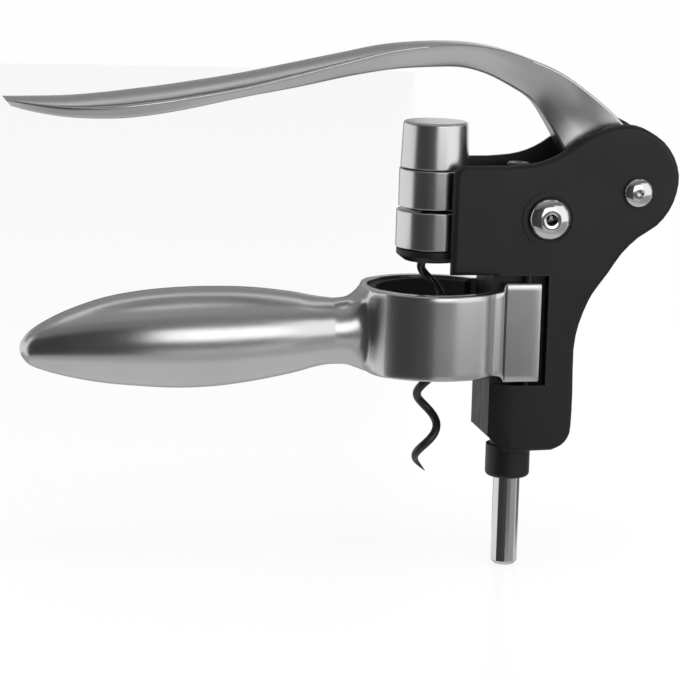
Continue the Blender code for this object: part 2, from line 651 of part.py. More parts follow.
def loft(name, rings, finish=None):
    """Skin a run of sections with the same number of points, closed at both ends."""
    bm = bmesh.new()
    rows = [[bm.verts.new(point) for point in ring] for ring in rings]
    for row, following in zip(rows, rows[1:]):
        count = len(row)
        for i in range(count):
            j = (i + 1) % count
            bm.faces.new((row[i], row[j], following[j], following[i]))
    bm.faces.new(rows[0])
    bm.faces.new(list(reversed(rows[-1])))
    bmesh.ops.recalc_face_normals(bm, faces=bm.faces)
    mesh = bpy.data.meshes.new(name)
    bm.to_mesh(mesh)
    bm.free()
    return new_object(name, mesh, finish)


def lever_section(station):
    """One section of the lever: a crowned top, leaning sides and a flat underside."""
    top_x, top_z, low_x, low_z, width, crown, under = station
    top = Vector((PIVOT_X + top_x * LEVER_REACH, 0, PIVOT_Z + top_z * LEVER_RISE))
    low = Vector((PIVOT_X + low_x * LEVER_REACH, 0, PIVOT_Z + low_z * LEVER_RISE))
    down = (low - top).normalized()
    half = width * LEVER_GRIP_WIDTH / 2
    drop = crown * LEVER_CROWN
    side = Vector((0, 1, 0))
    points = []
    for across in LEVER_ACROSS_SHARES:
        points.append(top + down * drop * across * across + side * half * across)
    low_half = half * under
    points.append(low - down * LEVER_EDGE_INSET - side * low_half)
    points.append(low - side * (low_half - LEVER_EDGE_INSET))
    points.append(low + side * (low_half - LEVER_EDGE_INSET))
    points.append(low - down * LEVER_EDGE_INSET + side * low_half)
    return points


def lever():
    """The cast lever: crowned grip, arched neck, hub on the pivot pin and two crank arms."""
    body = loft("lever", [lever_section(s) for s in smooth_curve(LEVER_STATION_SHARES, 2)], "satin_zinc")
    join(body, turned("lever_hub", rod_profile(HUB_RADIUS, -CRANK_OUTER_Y, CRANK_OUTER_Y),
                      place=along_y(PIVOT_X, PIVOT_Z, 1)))
    arm = slot_outline(PIVOT_X, PIVOT_Z, CRANK_ROOT_RADIUS, CRANK_X, CRANK_Z, CRANK_END_RADIUS)
    for side in (-1, 1):
        low, high = span(side, CRANK_INNER_Y, CRANK_OUTER_Y)
        join(body, side_plate("crank_arm_%+d" % side, arm, low, high))
    cut(body, turned("lever_bore", rod_profile(PIVOT_PIN_RADIUS + GAP, -BODY_HALF_WIDTH, BODY_HALF_WIDTH),
                     SMALL_STEPS, place=along_y(PIVOT_X, PIVOT_Z, 1)))
    cut(body, turned("crank_bore", rod_profile(CRANK_PIN_RADIUS + GAP, -BODY_HALF_WIDTH, BODY_HALF_WIDTH),
                     SMALL_STEPS, place=along_y(CRANK_X, CRANK_Z, 1)))
    return body


def lever_washer(name, side):
    inner = CRANK_OUTER_Y + GAP
    outer = inner + WASHER_THICKNESS
    return turned(name, ring_profile(PIVOT_PIN_RADIUS + GAP, WASHER_RADIUS, inner, outer), SMALL_STEPS,
                  "natural_nylon", True, along_y(PIVOT_X, PIVOT_Z, side))


def crank_pin(name, side):
    """A short pin in a crank arm that carries the roller in the carriage's yoke."""
    outer = CRANK_OUTER_Y
    inner = YOKE_INNER_Y
    return turned(name, rod_profile(CRANK_PIN_RADIUS, inner, outer), SMALL_STEPS, "plain_steel", False,
                  along_y(CRANK_X, CRANK_Z, side))


def crank_roller(name, side):
    inner = YOKE_INNER_Y + MERGE
    outer = CARRIAGE_HALF_WIDTH
    return turned(name, ring_profile(ROLLER_BORE_RADIUS, ROLLER_RADIUS, inner, outer), SMALL_STEPS,
                  "natural_nylon", True, along_y(CRANK_X, CRANK_Z, side))


def carriage():
    """The bearing ring, the block that holds the rod, and the two slotted yoke plates."""
    ring = [(CARRIAGE_THROAT_RADIUS, CARRIAGE_SHOULDER_Z), (CARRIAGE_BORE_RADIUS, CARRIAGE_SHOULDER_Z),
            (CARRIAGE_BORE_RADIUS, CARRIAGE_TOP_Z), (CARRIAGE_RADIUS - RING_EDGE, CARRIAGE_TOP_Z),
            (CARRIAGE_RADIUS, CARRIAGE_TOP_Z - RING_EDGE), (CARRIAGE_RADIUS, CARRIAGE_BOTTOM_Z + RING_EDGE),
            (CARRIAGE_RADIUS - RING_EDGE, CARRIAGE_BOTTOM_Z), (CARRIAGE_THROAT_RADIUS, CARRIAGE_BOTTOM_Z)]
    body = turned("carriage", ring, ROUND_STEPS, "satin_zinc", True)
    start_x = CARRIAGE_BORE_RADIUS + OVERRUN
    reach = PIVOT_X - CRANK_RADIUS
    narrow = ROLLER_RADIUS + RUN_GAP
    wide = narrow + YOKE_SLACK
    left = reach - narrow + wide
    outline = yoke_shape(left, wide + YOKE_RIM, narrow + YOKE_REAR_RIM)
    bottom, top = CARRIAGE_BOTTOM_Z + RING_EDGE, CARRIAGE_TOP_Z - RING_EDGE
    front = [(start_x, top), (start_x, bottom), (left - wide - YOKE_RIM, bottom)]
    lower = [point for point in outline if point[1] <= CRANK_Z + MERGE]
    rear = [(CRANK_X, CRANK_Z + narrow + YOKE_REAR_RIM), (CARRIAGE_REAR_X, CARRIAGE_BOTTOM_Z - RING_EDGE),
            (CARRIAGE_REAR_X, top)]
    join(body, side_plate("carriage_block", front + lower + rear, -CARRIAGE_HALF_WIDTH, CARRIAGE_HALF_WIDTH))
    gap_low, gap_high = WEB_TOP_Z, bottom + RING_EDGE
    gap_front, gap_rear = left - wide - YOKE_RIM - OVERRUN, CRANK_X + wide + OVERRUN
    gap = [(gap_front, gap_high), (gap_front, gap_low), (gap_rear, gap_low), (gap_rear, gap_high)]
    cut(body, side_plate("yoke_gap", gap, -YOKE_INNER_Y, YOKE_INNER_Y))
    slot = yoke_shape(left, wide, narrow)
    cut(body, side_plate("yoke_slot", slot, -CARRIAGE_HALF_WIDTH - OVERRUN, CARRIAGE_HALF_WIDTH + OVERRUN))
    cut(body, turned("carriage_rod_bore", rod_profile(ROD_RADIUS + GAP, CARRIAGE_BOTTOM_Z - OVERRUN,
                                                      ROD_TOP_Z + GAP), place=upright(ROD_X, 0)))
    cut(body, turned("carriage_screw_bore", rod_profile(ROD_SCREW_RADIUS + GAP, ROD_TOP_Z - OVERRUN,
                                                        CARRIAGE_TOP_Z + OVERRUN), SMALL_STEPS,
                     place=upright(ROD_X, 0)))
    return body


def yoke_shape(left, wide, narrow):
    """A slot outline: wide over the run where the crank lags most, narrow at the crank's rest."""
    run_end = left + YOKE_RUN
    lean = math.acos((wide - narrow) / (CRANK_X - run_end))
    steps = SMALL_STEPS // 2
    return (arc(left, CRANK_Z, wide, QUARTER_TURN, QUARTER_TURN + math.pi, steps)
            + arc(run_end, CRANK_Z, wide, -QUARTER_TURN, -lean, 2)
            + arc(CRANK_X, CRANK_Z, narrow, -lean, lean, steps)
            + arc(run_end, CRANK_Z, wide, lean, QUARTER_TURN, 2))


def guide_rod():
    profile = [(ROD_TAP_RADIUS, ROD_TOP_Z), (ROD_RADIUS, ROD_TOP_Z), (ROD_RADIUS, ROD_BOTTOM_Z + ROD_CHAMFER),
               (ROD_RADIUS - ROD_CHAMFER, ROD_BOTTOM_Z), (0, ROD_BOTTOM_Z)]
    hole = [(0, ROD_TOP_Z - ROD_TAP_DEPTH), (ROD_TAP_RADIUS, ROD_TOP_Z - ROD_TAP_DEPTH)]
    return turned("guide_rod", hole + profile, ROUND_STEPS, "polished_steel", False, upright(ROD_X, 0))


def rod_screw():
    """The screw that draws the rod up into the carriage's block."""
    seat = CARRIAGE_TOP_Z + GAP - RING_EDGE
    top = seat + ROD_SCREW_HEAD_HEIGHT
    profile = [(0, top - ROD_SCREW_SOCKET_DEPTH), (ROD_SCREW_SOCKET_RADIUS, top - ROD_SCREW_SOCKET_DEPTH),
               (ROD_SCREW_SOCKET_RADIUS, top), (ROD_SCREW_HEAD_RADIUS - RING_EDGE, top),
               (ROD_SCREW_HEAD_RADIUS, top - RING_EDGE), (ROD_SCREW_HEAD_RADIUS, seat),
               (ROD_SCREW_RADIUS, seat), (ROD_SCREW_RADIUS, seat - ROD_SCREW_LENGTH),
               (0, seat - ROD_SCREW_LENGTH)]
    return turned("rod_screw", profile, SMALL_STEPS, "plain_steel", False, upright(ROD_X, 0))


def worm_cap():
    top = CAP_BOTTOM_Z + CAP_HEIGHT
    ceiling = CAP_BOTTOM_Z + CAP_BORE_DEPTH
    rounded = arc(CAP_TOP_RADIUS - CAP_ROUND, top - CAP_ROUND, CAP_ROUND, QUARTER_TURN, 0, 3)
    profile = [(0, top)] + rounded + [(CAP_BOTTOM_RADIUS, CAP_BOTTOM_Z + RING_EDGE),
                                      (CAP_BOTTOM_RADIUS - RING_EDGE, CAP_BOTTOM_Z),
                                      (CAP_BORE_RADIUS, CAP_BOTTOM_Z), (CAP_BORE_RADIUS, ceiling), (0, ceiling)]
    return turned("worm_cap", profile, ROUND_STEPS, "satin_zinc")


def worm_point(z):
    """Centre of the worm's wire at a height: a helix that closes in to a straight shank above."""
    angle = WORM_TIP_ANGLE + FULL_TURN * (z - WORM_TIP_Z) / WORM_PITCH
    closing = min(max((z - WORM_HELIX_TOP_Z) / (WORM_SHANK_Z - WORM_HELIX_TOP_Z), 0), 1)
    radius = WORM_COIL_RADIUS * (1 + math.cos(math.pi * closing)) / 2
    return radius * math.cos(angle), radius * math.sin(angle), z


def helix_tube(name, low, high, wire_radius, thin_share=1.0):
    """A round tube along the worm's centre line, thinned to a point at its lower end if asked."""
    curve = bpy.data.curves.new(name, "CURVE")
    curve.dimensions = "3D"
    curve.bevel_depth = wire_radius
    curve.bevel_resolution = 2
    curve.use_fill_caps = True
    step = WORM_PITCH / WORM_STEPS_PER_TURN
    count = int(round((high - low) / step))
    heights = [low + (high - low) * i / count for i in range(count + 1)]
    spline = curve.splines.new("POLY")
    spline.points.add(len(heights) - 1)
    point_length = WORM_POINT_TURNS * WORM_PITCH
    for point, z in zip(spline.points, heights):
        point.co = (*worm_point(z), 1)
        grown = min((z - low) / point_length, 1)
        point.radius = thin_share + (1 - thin_share) * grown
    obj = bpy.data.objects.new(name, curve)
    parts.objects.link(obj)
    return mesh_of_curve(obj)


def worm():
    mesh = helix_tube("worm", WORM_TIP_Z, WORM_SHANK_TOP_Z, WORM_WIRE_RADIUS, WORM_POINT_SHARE)
    return new_object("worm", mesh, "black_worm")


def worm_fittings():
    """The thrust washer, the bush and the head that hold the worm's shank in the carriage."""
    bore = WORM_WIRE_RADIUS + GAP
    low = CARRIAGE_SHOULDER_Z + GAP
    high = low + THRUST_WASHER_HEIGHT
    turned("thrust_washer", ring_profile(bore + GAP, THRUST_WASHER_RADIUS, low, high), SMALL_STEPS,
           "natural_nylon", True)
    low = high + GAP
    high = low + HUB_BUSH_HEIGHT
    turned("worm_bush", ring_profile(bore, HUB_BUSH_RADIUS, low, high), SMALL_STEPS, "plain_steel", True)
    low = high + GAP
    high = low + WORM_HEAD_HEIGHT
    corner_bore = bore / math.cos(math.pi / HEX_SIDES)
    turned("worm_head", ring_profile(corner_bore, WORM_HEAD_RADIUS, low, high), HEX_SIDES, "plain_steel", True)


def nut_ring():
    """The lower ring and its bracket, whose tongues sit in grooves of the cheeks."""
    ring = [(NUT_RING_BORE_RADIUS, NUT_RING_TOP_Z), (NUT_RING_RADIUS - RING_EDGE, NUT_RING_TOP_Z),
            (NUT_RING_RADIUS, NUT_RING_TOP_Z - RING_EDGE), (NUT_RING_RADIUS, NUT_RING_BOTTOM_Z + RING_EDGE),
            (NUT_RING_RADIUS - RING_EDGE, NUT_RING_BOTTOM_Z), (NUT_RING_BORE_RADIUS, NUT_RING_BOTTOM_Z)]
    body = turned("nut_ring", ring, ROUND_STEPS, "satin_zinc", True)
    low, high = NUT_RING_BOTTOM_Z + RING_EDGE, NUT_RING_TOP_Z - RING_EDGE
    start_x = NUT_RING_BORE_RADIUS + RING_EDGE
    half = math.sqrt(NUT_RING_RADIUS ** 2 - start_x ** 2)
    bracket = [(start_x, -half), (BRACKET_FRONT_X, -half), (BRACKET_FRONT_X, -BRACKET_HALF_WIDTH),
               (BRACKET_REAR_X, -BRACKET_HALF_WIDTH), (BRACKET_REAR_X, BRACKET_HALF_WIDTH),
               (BRACKET_FRONT_X, BRACKET_HALF_WIDTH), (BRACKET_FRONT_X, half), (start_x, half)]
    join(body, plan_plate("bracket", bracket, low, high))
    tongue = [(TONGUE_FRONT_X, TONGUE_BOTTOM_Z), (TONGUE_REAR_X, TONGUE_BOTTOM_Z),
              (TONGUE_REAR_X, TONGUE_TOP_Z), (TONGUE_FRONT_X, TONGUE_TOP_Z)]
    tip = CHEEK_INNER_Y + TONGUE_DEPTH
    join(body, side_plate("bracket_tongues", tongue, -tip, tip))
    return body


def nut_insert():
    """The black insert: a nose below the ring and a helical tunnel that the worm turns through."""
    collar_top = NUT_RING_BOTTOM_Z - GAP
    collar_low = collar_top - NUT_COLLAR_HEIGHT
    outer = NUT_RING_BORE_RADIUS - GAP
    profile = [(0, NUT_TOP_Z), (outer, NUT_TOP_Z), (outer, collar_top), (NUT_COLLAR_RADIUS, collar_top),
               (NUT_COLLAR_RADIUS, collar_low), (NUT_NOSE_RADIUS, NUT_BOTTOM_Z), (0, NUT_BOTTOM_Z)]
    body = turned("nut_insert", profile, ROUND_STEPS, "black_moulding")
    tunnel = helix_tube("worm_tunnel", NUT_BOTTOM_Z - OVERRUN, NUT_TOP_Z + OVERRUN,
                        WORM_WIRE_RADIUS + TUNNEL_CLEARANCE)
    cut(body, new_object("worm_tunnel", tunnel))
    return body


def handle_section(station, side):
    """A D-shaped section of a handle: a rounded outer side and a flat inner face."""
    along, dropped, tall, deep = station
    x = HANDLE_ROOT_X - along * (HANDLE_LENGTH + HANDLE_ROOT_X)
    z = -dropped * HANDLE_DROP
    height = tall * HANDLE_HALF_HEIGHT
    depth = deep * HANDLE_DEPTH
    points = []
    for i in range(HANDLE_SECTION_STEPS + 1):
        angle = -QUARTER_TURN + math.pi * i / HANDLE_SECTION_STEPS
        points.append((x, side * (HALF_HANDLE_GAP + depth * math.cos(angle)), z + height * math.sin(angle)))
    return points


def ring_plan(outer, inner, start, end, side):
    """Plan outline of an arc of wall between two radii, on one side of the object."""
    points = arc(0, 0, outer, start, end, RING_ARC_STEPS) + arc(0, 0, inner, end, start, RING_ARC_STEPS)
    return [(x, side * max(-y, HALF_HANDLE_GAP)) for x, y in points]


def clamp_handle(name, side):
    """A cast handle: spindle grip, half of the clamping ring, and the hinge plate."""
    stations = smooth_curve(HANDLE_STATION_SHARES, 2)
    body = loft(name, [handle_section(s, side) for s in stations], "satin_zinc")
    wall = plate_mesh("wall_" + name, ring_plan(RING_RADIUS, RING_INNER_RADIUS, -math.pi, RING_ARC_END, side),
                      -RING_HALF_HEIGHT, RING_HALF_HEIGHT, "XY")
    join(body, new_object("wall_" + name, wall))
    inner_y, outer_y = PLATE_INNER_Y, BODY_HALF_WIDTH
    neck_start = RING_INNER_RADIUS * math.cos(RING_ARC_END) + RING_EDGE
    neck_outer = outer_y - NECK_STEP
    neck_end = PLATE_FRONT_X + NECK_OVERLAP
    meeting = math.sqrt((RING_INNER_RADIUS + RING_WALL / 2) ** 2 - neck_outer ** 2)
    neck = [(neck_start, side * inner_y), (neck_start, side * (ARC_END_Y + RING_EDGE)),
            (meeting, side * neck_outer), (neck_end, side * neck_outer), (neck_end, side * inner_y)]
    neck_top = RING_HALF_HEIGHT - RING_EDGE
    join(body, plan_plate("neck_" + name, neck, -neck_top, neck_top))
    plan = [(PLATE_FRONT_X, side * outer_y), (PLATE_REAR_X, side * outer_y),
            (PLATE_REAR_X, side * (outer_y - PLATE_TAIL)), (HINGE_X + HINGE_RELIEF, side * (inner_y + MERGE)),
            (PLATE_FRONT_X, side * (inner_y + MERGE))]
    mesh = plate_mesh("hinge_plate_" + name, plan, PLATE_BOTTOM_Z, PLATE_TOP_Z, "XY")

    def on_outer_face(edge):
        return all(abs(vert.co.y - side * outer_y) < MERGE for vert in edge.verts) \
            and len({round(face.normal.y) for face in edge.link_faces}) > 1
    round_edges(mesh, on_outer_face, PLATE_EDGE_ROUND, PLATE_EDGE_STEPS)
    join(body, new_object("hinge_plate_" + name, mesh))
    cut(body, turned("hinge_hole_" + name, rod_profile(HINGE_PIN_RADIUS + HINGE_CLEARANCE, PLATE_BOTTOM_Z - OVERRUN,
                                                       PLATE_TOP_Z + OVERRUN), SMALL_STEPS,
                     place=upright(HINGE_X, side * HINGE_Y)))
    return body


def jaw_liner(name, side):
    plan = ring_plan(LINER_OUTER_RADIUS, LINER_INNER_RADIUS, -math.pi, LINER_ARC_END, side)
    return plan_plate(name, plan, -LINER_HALF_HEIGHT, LINER_HALF_HEIGHT, "black_liner")


def hinge_pin(name, side):
    return turned(name, rod_profile(HINGE_PIN_RADIUS, HINGE_PIN_BOTTOM_Z, HINGE_PIN_TOP_Z), SMALL_STEPS,
                  "polished_steel", False, upright(HINGE_X, side * HINGE_Y))


def guide_sleeve():
    bottom = SLEEVE_BOTTOM_Z
    rounded = arc(SLEEVE_RADIUS - SLEEVE_ROUND, bottom + SLEEVE_ROUND, SLEEVE_ROUND, 0, -QUARTER_TURN, 3)
    shoulder = BODY_BOTTOM_Z - GAP
    profile = [(ROD_BORE_RADIUS, SPIGOT_TOP_Z), (SPIGOT_RADIUS, SPIGOT_TOP_Z), (SPIGOT_RADIUS, shoulder),
               (SLEEVE_RADIUS, shoulder)] + rounded + [(ROD_BORE_RADIUS, bottom)]
    return turned("guide_sleeve", profile, ROUND_STEPS, "black_moulding", True, upright(ROD_X, 0))


def hang(name, place, pieces):
    """Put an empty on a joint's axis and parent to it the pieces that the joint moves."""
    empty = bpy.data.objects.new(name, None)
    parts.objects.link(empty)
    empty.matrix_world = Matrix.Translation(place)
    for piece in pieces:
        obj = bpy.data.objects[piece]
        obj.parent = empty
        obj.matrix_parent_inverse = empty.matrix_world.inverted()
    return empty


SIDES = (("left", -1), ("right", 1))
for word, sign in SIDES:
    body_half("body_" + word, sign)
    side_plate_piece("side_plate_" + word, sign)
    cover_rivet("cover_rivet_" + word, sign)
    lever_washer("lever_washer_" + word, sign)
    crank_pin("crank_pin_" + word, sign)
    crank_roller("crank_roller_" + word, sign)
    clamp_handle("handle_" + word, sign)
    jaw_liner("jaw_liner_" + word, sign)
    hinge_pin("hinge_pin_" + word, sign)
guide_sleeve()
lever()
lever_pin()
carriage()
guide_rod()
rod_screw()
worm_cap()
worm()
worm_fittings()
nut_ring()
nut_insert()

hang("lever_pivot", (PIVOT_X, 0, PIVOT_Z),
     ["lever"] + [stem + word for stem in ("lever_washer_", "crank_pin_", "crank_roller_") for word, _ in SIDES])
hang("worm_spin", (0, 0, CARRIAGE_SHOULDER_Z), ["worm", "worm_bush", "worm_head"])
hang("carriage_slide", (0, 0, CARRIAGE_BOTTOM_Z),
     ["carriage", "guide_rod", "rod_screw", "worm_cap", "thrust_washer", "worm_spin"])
for word, sign in SIDES:
    hang("handle_" + word + "_hinge", (HINGE_X, sign * HINGE_Y, 0), ["handle_" + word, "jaw_liner_" + word])
print("carriage travel", round(CARRIAGE_TRAVEL, 5), "worm turns", round(WORM_TURNS, 4))
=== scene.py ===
# %% [markdown]
# # A lever corkscrew, dressed for its picture
#
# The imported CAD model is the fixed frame. It already has every piece in its place and every joint, but its
# curves are made of few flat facets and its finishes are plain. This lesson replaces what is seen by finer
# pieces, gives everything a finish made of nodes, and ends with the studio and the camera.

# %% Load the frame
import math

import bpy
from mathutils import Matrix, Vector


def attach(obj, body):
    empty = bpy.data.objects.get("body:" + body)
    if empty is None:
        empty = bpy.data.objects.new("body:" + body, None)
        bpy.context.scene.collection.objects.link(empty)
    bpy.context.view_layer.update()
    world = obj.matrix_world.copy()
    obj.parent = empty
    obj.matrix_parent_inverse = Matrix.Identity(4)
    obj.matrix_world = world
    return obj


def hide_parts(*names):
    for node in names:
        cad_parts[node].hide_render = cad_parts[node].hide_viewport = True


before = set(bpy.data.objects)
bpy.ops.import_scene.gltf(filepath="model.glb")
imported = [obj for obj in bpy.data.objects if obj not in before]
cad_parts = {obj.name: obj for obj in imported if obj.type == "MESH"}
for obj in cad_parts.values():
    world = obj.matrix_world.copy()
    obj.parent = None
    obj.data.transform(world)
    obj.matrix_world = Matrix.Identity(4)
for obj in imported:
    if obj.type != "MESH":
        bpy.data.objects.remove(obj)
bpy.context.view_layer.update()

# %% [markdown]
# Sizes that more than one piece needs. They repeat the CAD source's values in metres, because a scene reads
# nothing but the frame.

# %% Shared sizes
SIDES = (("left", -1), ("right", 1))
WELD = 0.00001
SEAM = 0.00025
QUARTER = math.pi / 2
FULL_TURN = 2 * math.pi
FINE_STEPS = 72
FLAT_WITHIN = math.radians(0.3)
PIVOT = Vector((0.0575, 0, 0.0417))
RIVET = Vector((0.0312, 0, 0.0340))
ROD_X = 0.0251
CHEEK_Y = 0.0145
CRANK_RADIUS = 0.0340
print("sizes ready")


# %% [markdown]
# Every operator acts on what is selected, so each step starts by choosing one object and ends back in
# Object mode. The helpers below do that, and also weld, turn the faces outwards and shade smoothly.

# %% Helpers for selecting and editing
def choose(obj):
    bpy.ops.object.select_all(action="DESELECT")
    obj.select_set(True)
    bpy.context.view_layer.objects.active = obj
    return obj


def edit(obj, *steps):
    """Run edit-mode steps on the whole mesh of one object."""
    choose(obj)
    bpy.ops.object.mode_set(mode="EDIT")
    bpy.ops.mesh.select_all(action="SELECT")
    for step in steps:
        step()
    bpy.ops.object.mode_set(mode="OBJECT")
    return obj


def weld():
    bpy.ops.mesh.remove_doubles(threshold=WELD)


def face_out():
    bpy.ops.mesh.normals_make_consistent(inside=False)


def settle(obj):
    """Put the object's place and turn into its mesh, so that the object sits at the origin."""
    choose(obj)
    bpy.ops.object.transform_apply(location=True, rotation=True, scale=True)
    return obj


def smooth(obj, angle=35):
    choose(obj)
    bpy.ops.object.shade_smooth_by_angle(angle=math.radians(angle))
    return obj


# %% [markdown]
# A solid cut is a Boolean modifier that is applied at once. A soft edge is a Bevel modifier on the sharp
# edges only: real cast and moulded edges are never razor sharp, and the small round catches the light. A
# Weighted Normal modifier keeps the long sides of a piece flat in the shading, right up to such a round.

# %% Helpers for modifiers
def apply_all(obj):
    choose(obj)
    for modifier in list(obj.modifiers):
        bpy.ops.object.modifier_apply(modifier=modifier.name)
    return obj


def even_normals(obj):
    """Let the large faces decide the shading, so that flat sides stay flat beside their rounded edges."""
    weighted = obj.modifiers.new("even normals", "WEIGHTED_NORMAL")
    weighted.keep_sharp = True
    weighted.weight = 100
    return apply_all(obj)


def combine(obj, other, operation):
    boolean = obj.modifiers.new("combine", "BOOLEAN")
    boolean.operation = operation
    boolean.solver = "EXACT"
    boolean.object = other
    apply_all(obj)
    bpy.data.objects.remove(other)
    return obj


def soften(obj, width, segments=2, angle=35):
    bevel = obj.modifiers.new("soft edge", "BEVEL")
    bevel.width = width
    bevel.segments = segments
    bevel.limit_method = "ANGLE"
    bevel.angle_limit = math.radians(angle)
    bevel.use_clamp_overlap = True
    return apply_all(obj)


# %% [markdown]
# ## Finishes
#
# Three effects are used by more than one finish, so each is a node group. Fine grain is the tiny relief of
# a cast, plated or moulded surface. Soft wear lets the roughness drift in large faint clouds, as handling
# does. Rubbed edges finds corners by comparing the true normal with a rounded one.

# %% Node group: fine grain
def group_with(name, inputs, outputs):
    """An empty node group with named sockets, and its input and output nodes."""
    group = bpy.data.node_groups.new(name, "ShaderNodeTree")
    for label, kind, value in inputs:
        socket = group.interface.new_socket(name=label, in_out="INPUT", socket_type=kind)
        socket.default_value = value
    for label, kind in outputs:
        group.interface.new_socket(name=label, in_out="OUTPUT", socket_type=kind)
    return group, group.nodes.new("NodeGroupInput"), group.nodes.new("NodeGroupOutput")


def add(tree, kind, **values):
    node = tree.nodes.new(kind)
    for key, value in values.items():
        if key in node.inputs:
            node.inputs[key].default_value = value
        else:
            setattr(node, key, value)
    return node


def make_fine_grain():
    group, given, result = group_with("fine_grain", [("Scale", "NodeSocketFloat", 3000.0)],
                                      [("Height", "NodeSocketFloat")])
    place = add(group, "ShaderNodeTexCoord")
    noise = add(group, "ShaderNodeTexNoise", Detail=3.0, Roughness=0.6)
    group.links.new(place.outputs["Object"], noise.inputs["Vector"])
    group.links.new(given.outputs["Scale"], noise.inputs["Scale"])
    group.links.new(noise.outputs["Fac"], result.inputs["Height"])
    return group


FINE_GRAIN = make_fine_grain()
print("group", FINE_GRAIN.name)


# %% Node group: soft wear
def make_soft_wear():
    group, given, result = group_with(
        "soft_wear", [("Scale", "NodeSocketFloat", 60.0), ("Low", "NodeSocketFloat", 0.25),
                      ("High", "NodeSocketFloat", 0.35)], [("Value", "NodeSocketFloat")])
    place = add(group, "ShaderNodeTexCoord")
    noise = add(group, "ShaderNodeTexNoise", Detail=2.0, Roughness=0.5, Distortion=0.4)
    spread = add(group, "ShaderNodeMapRange", interpolation_type="SMOOTHSTEP")
    spread.inputs["From Min"].default_value = 0.32
    spread.inputs["From Max"].default_value = 0.68
    group.links.new(place.outputs["Object"], noise.inputs["Vector"])
    group.links.new(given.outputs["Scale"], noise.inputs["Scale"])
    group.links.new(noise.outputs["Fac"], spread.inputs["Value"])
    group.links.new(given.outputs["Low"], spread.inputs["To Min"])
    group.links.new(given.outputs["High"], spread.inputs["To Max"])
    group.links.new(spread.outputs["Result"], result.inputs["Value"])
    return group


SOFT_WEAR = make_soft_wear()
print("group", SOFT_WEAR.name)


# %% Node group: rubbed edges
def make_rubbed_edges():
    group, given, result = group_with(
        "rubbed_edges", [("Radius", "NodeSocketFloat", 0.0005), ("Amount", "NodeSocketFloat", 0.5)],
        [("Mask", "NodeSocketFloat")])
    rounded = add(group, "ShaderNodeBevel", samples=4)
    flat = add(group, "ShaderNodeNewGeometry")
    match = add(group, "ShaderNodeVectorMath", operation="DOT_PRODUCT")
    spread = add(group, "ShaderNodeMapRange")
    spread.inputs["From Min"].default_value = 0.995
    spread.inputs["From Max"].default_value = 0.90
    scale = add(group, "ShaderNodeMath", operation="MULTIPLY")
    group.links.new(given.outputs["Radius"], rounded.inputs["Radius"])
    group.links.new(rounded.outputs["Normal"], match.inputs[0])
    group.links.new(flat.outputs["Normal"], match.inputs[1])
    group.links.new(match.outputs["Value"], spread.inputs["Value"])
    group.links.new(spread.outputs["Result"], scale.inputs[0])
    group.links.new(given.outputs["Amount"], scale.inputs[1])
    group.links.new(scale.outputs["Value"], result.inputs["Mask"])
    return group


RUBBED_EDGES = make_rubbed_edges()
print("group", RUBBED_EDGES.name)


# %% [markdown]
# A finish is a Principled shader with those groups around it. The table says, for each slot of the record,
# the colour in the body of the surface and on rubbed edges, how much metal it is, the two ends of its
# roughness, and the scale and depth of its grain.

# %% Build one finish
CLOUD_SCALE, CLOUD_SHADE = 0.45, 0.93
EDGE_RADIUS = 0.0005


def group_node(tree, group, **values):
    node = tree.nodes.new("ShaderNodeGroup")
    node.node_tree = group
    for key, value in values.items():
        node.inputs[key.replace("_", " ")].default_value = value
    return node


def finish(name, colour, edge_colour, metal, rough, grain, wear_scale=70.0, edge=0.5, specular=0.5):
    """A procedural material: rough is (low, high), grain is (scale, depth in metres)."""
    material = bpy.data.materials.new("look_" + name)
    material.use_nodes = True
    tree = material.node_tree
    shader = tree.nodes["Principled BSDF"]
    shader.inputs["Metallic"].default_value = metal
    shader.inputs["Specular IOR Level"].default_value = specular
    wear = group_node(tree, SOFT_WEAR, Scale=wear_scale, Low=rough[0], High=rough[1])
    tree.links.new(wear.outputs["Value"], shader.inputs["Roughness"])
    cloud = group_node(tree, SOFT_WEAR, Scale=wear_scale * CLOUD_SCALE, Low=0.0, High=1.0)
    drift = add(tree, "ShaderNodeMix", data_type="RGBA")
    drift.inputs["A"].default_value = (*colour, 1)
    drift.inputs["B"].default_value = (*[c * CLOUD_SHADE for c in colour], 1)
    tree.links.new(cloud.outputs["Value"], drift.inputs["Factor"])
    edges = group_node(tree, RUBBED_EDGES, Radius=EDGE_RADIUS, Amount=edge)
    blend = add(tree, "ShaderNodeMix", data_type="RGBA")
    blend.inputs["B"].default_value = (*edge_colour, 1)
    tree.links.new(edges.outputs["Mask"], blend.inputs["Factor"])
    tree.links.new(drift.outputs["Result"], blend.inputs["A"])
    tree.links.new(blend.outputs["Result"], shader.inputs["Base Color"])
    relief = group_node(tree, FINE_GRAIN, Scale=grain[0])
    bump = add(tree, "ShaderNodeBump", Strength=1.0, Distance=grain[1])
    tree.links.new(relief.outputs["Height"], bump.inputs["Height"])
    tree.links.new(bump.outputs["Normal"], shader.inputs["Normal"])
    material.diffuse_color = (*colour, 1)
    return material


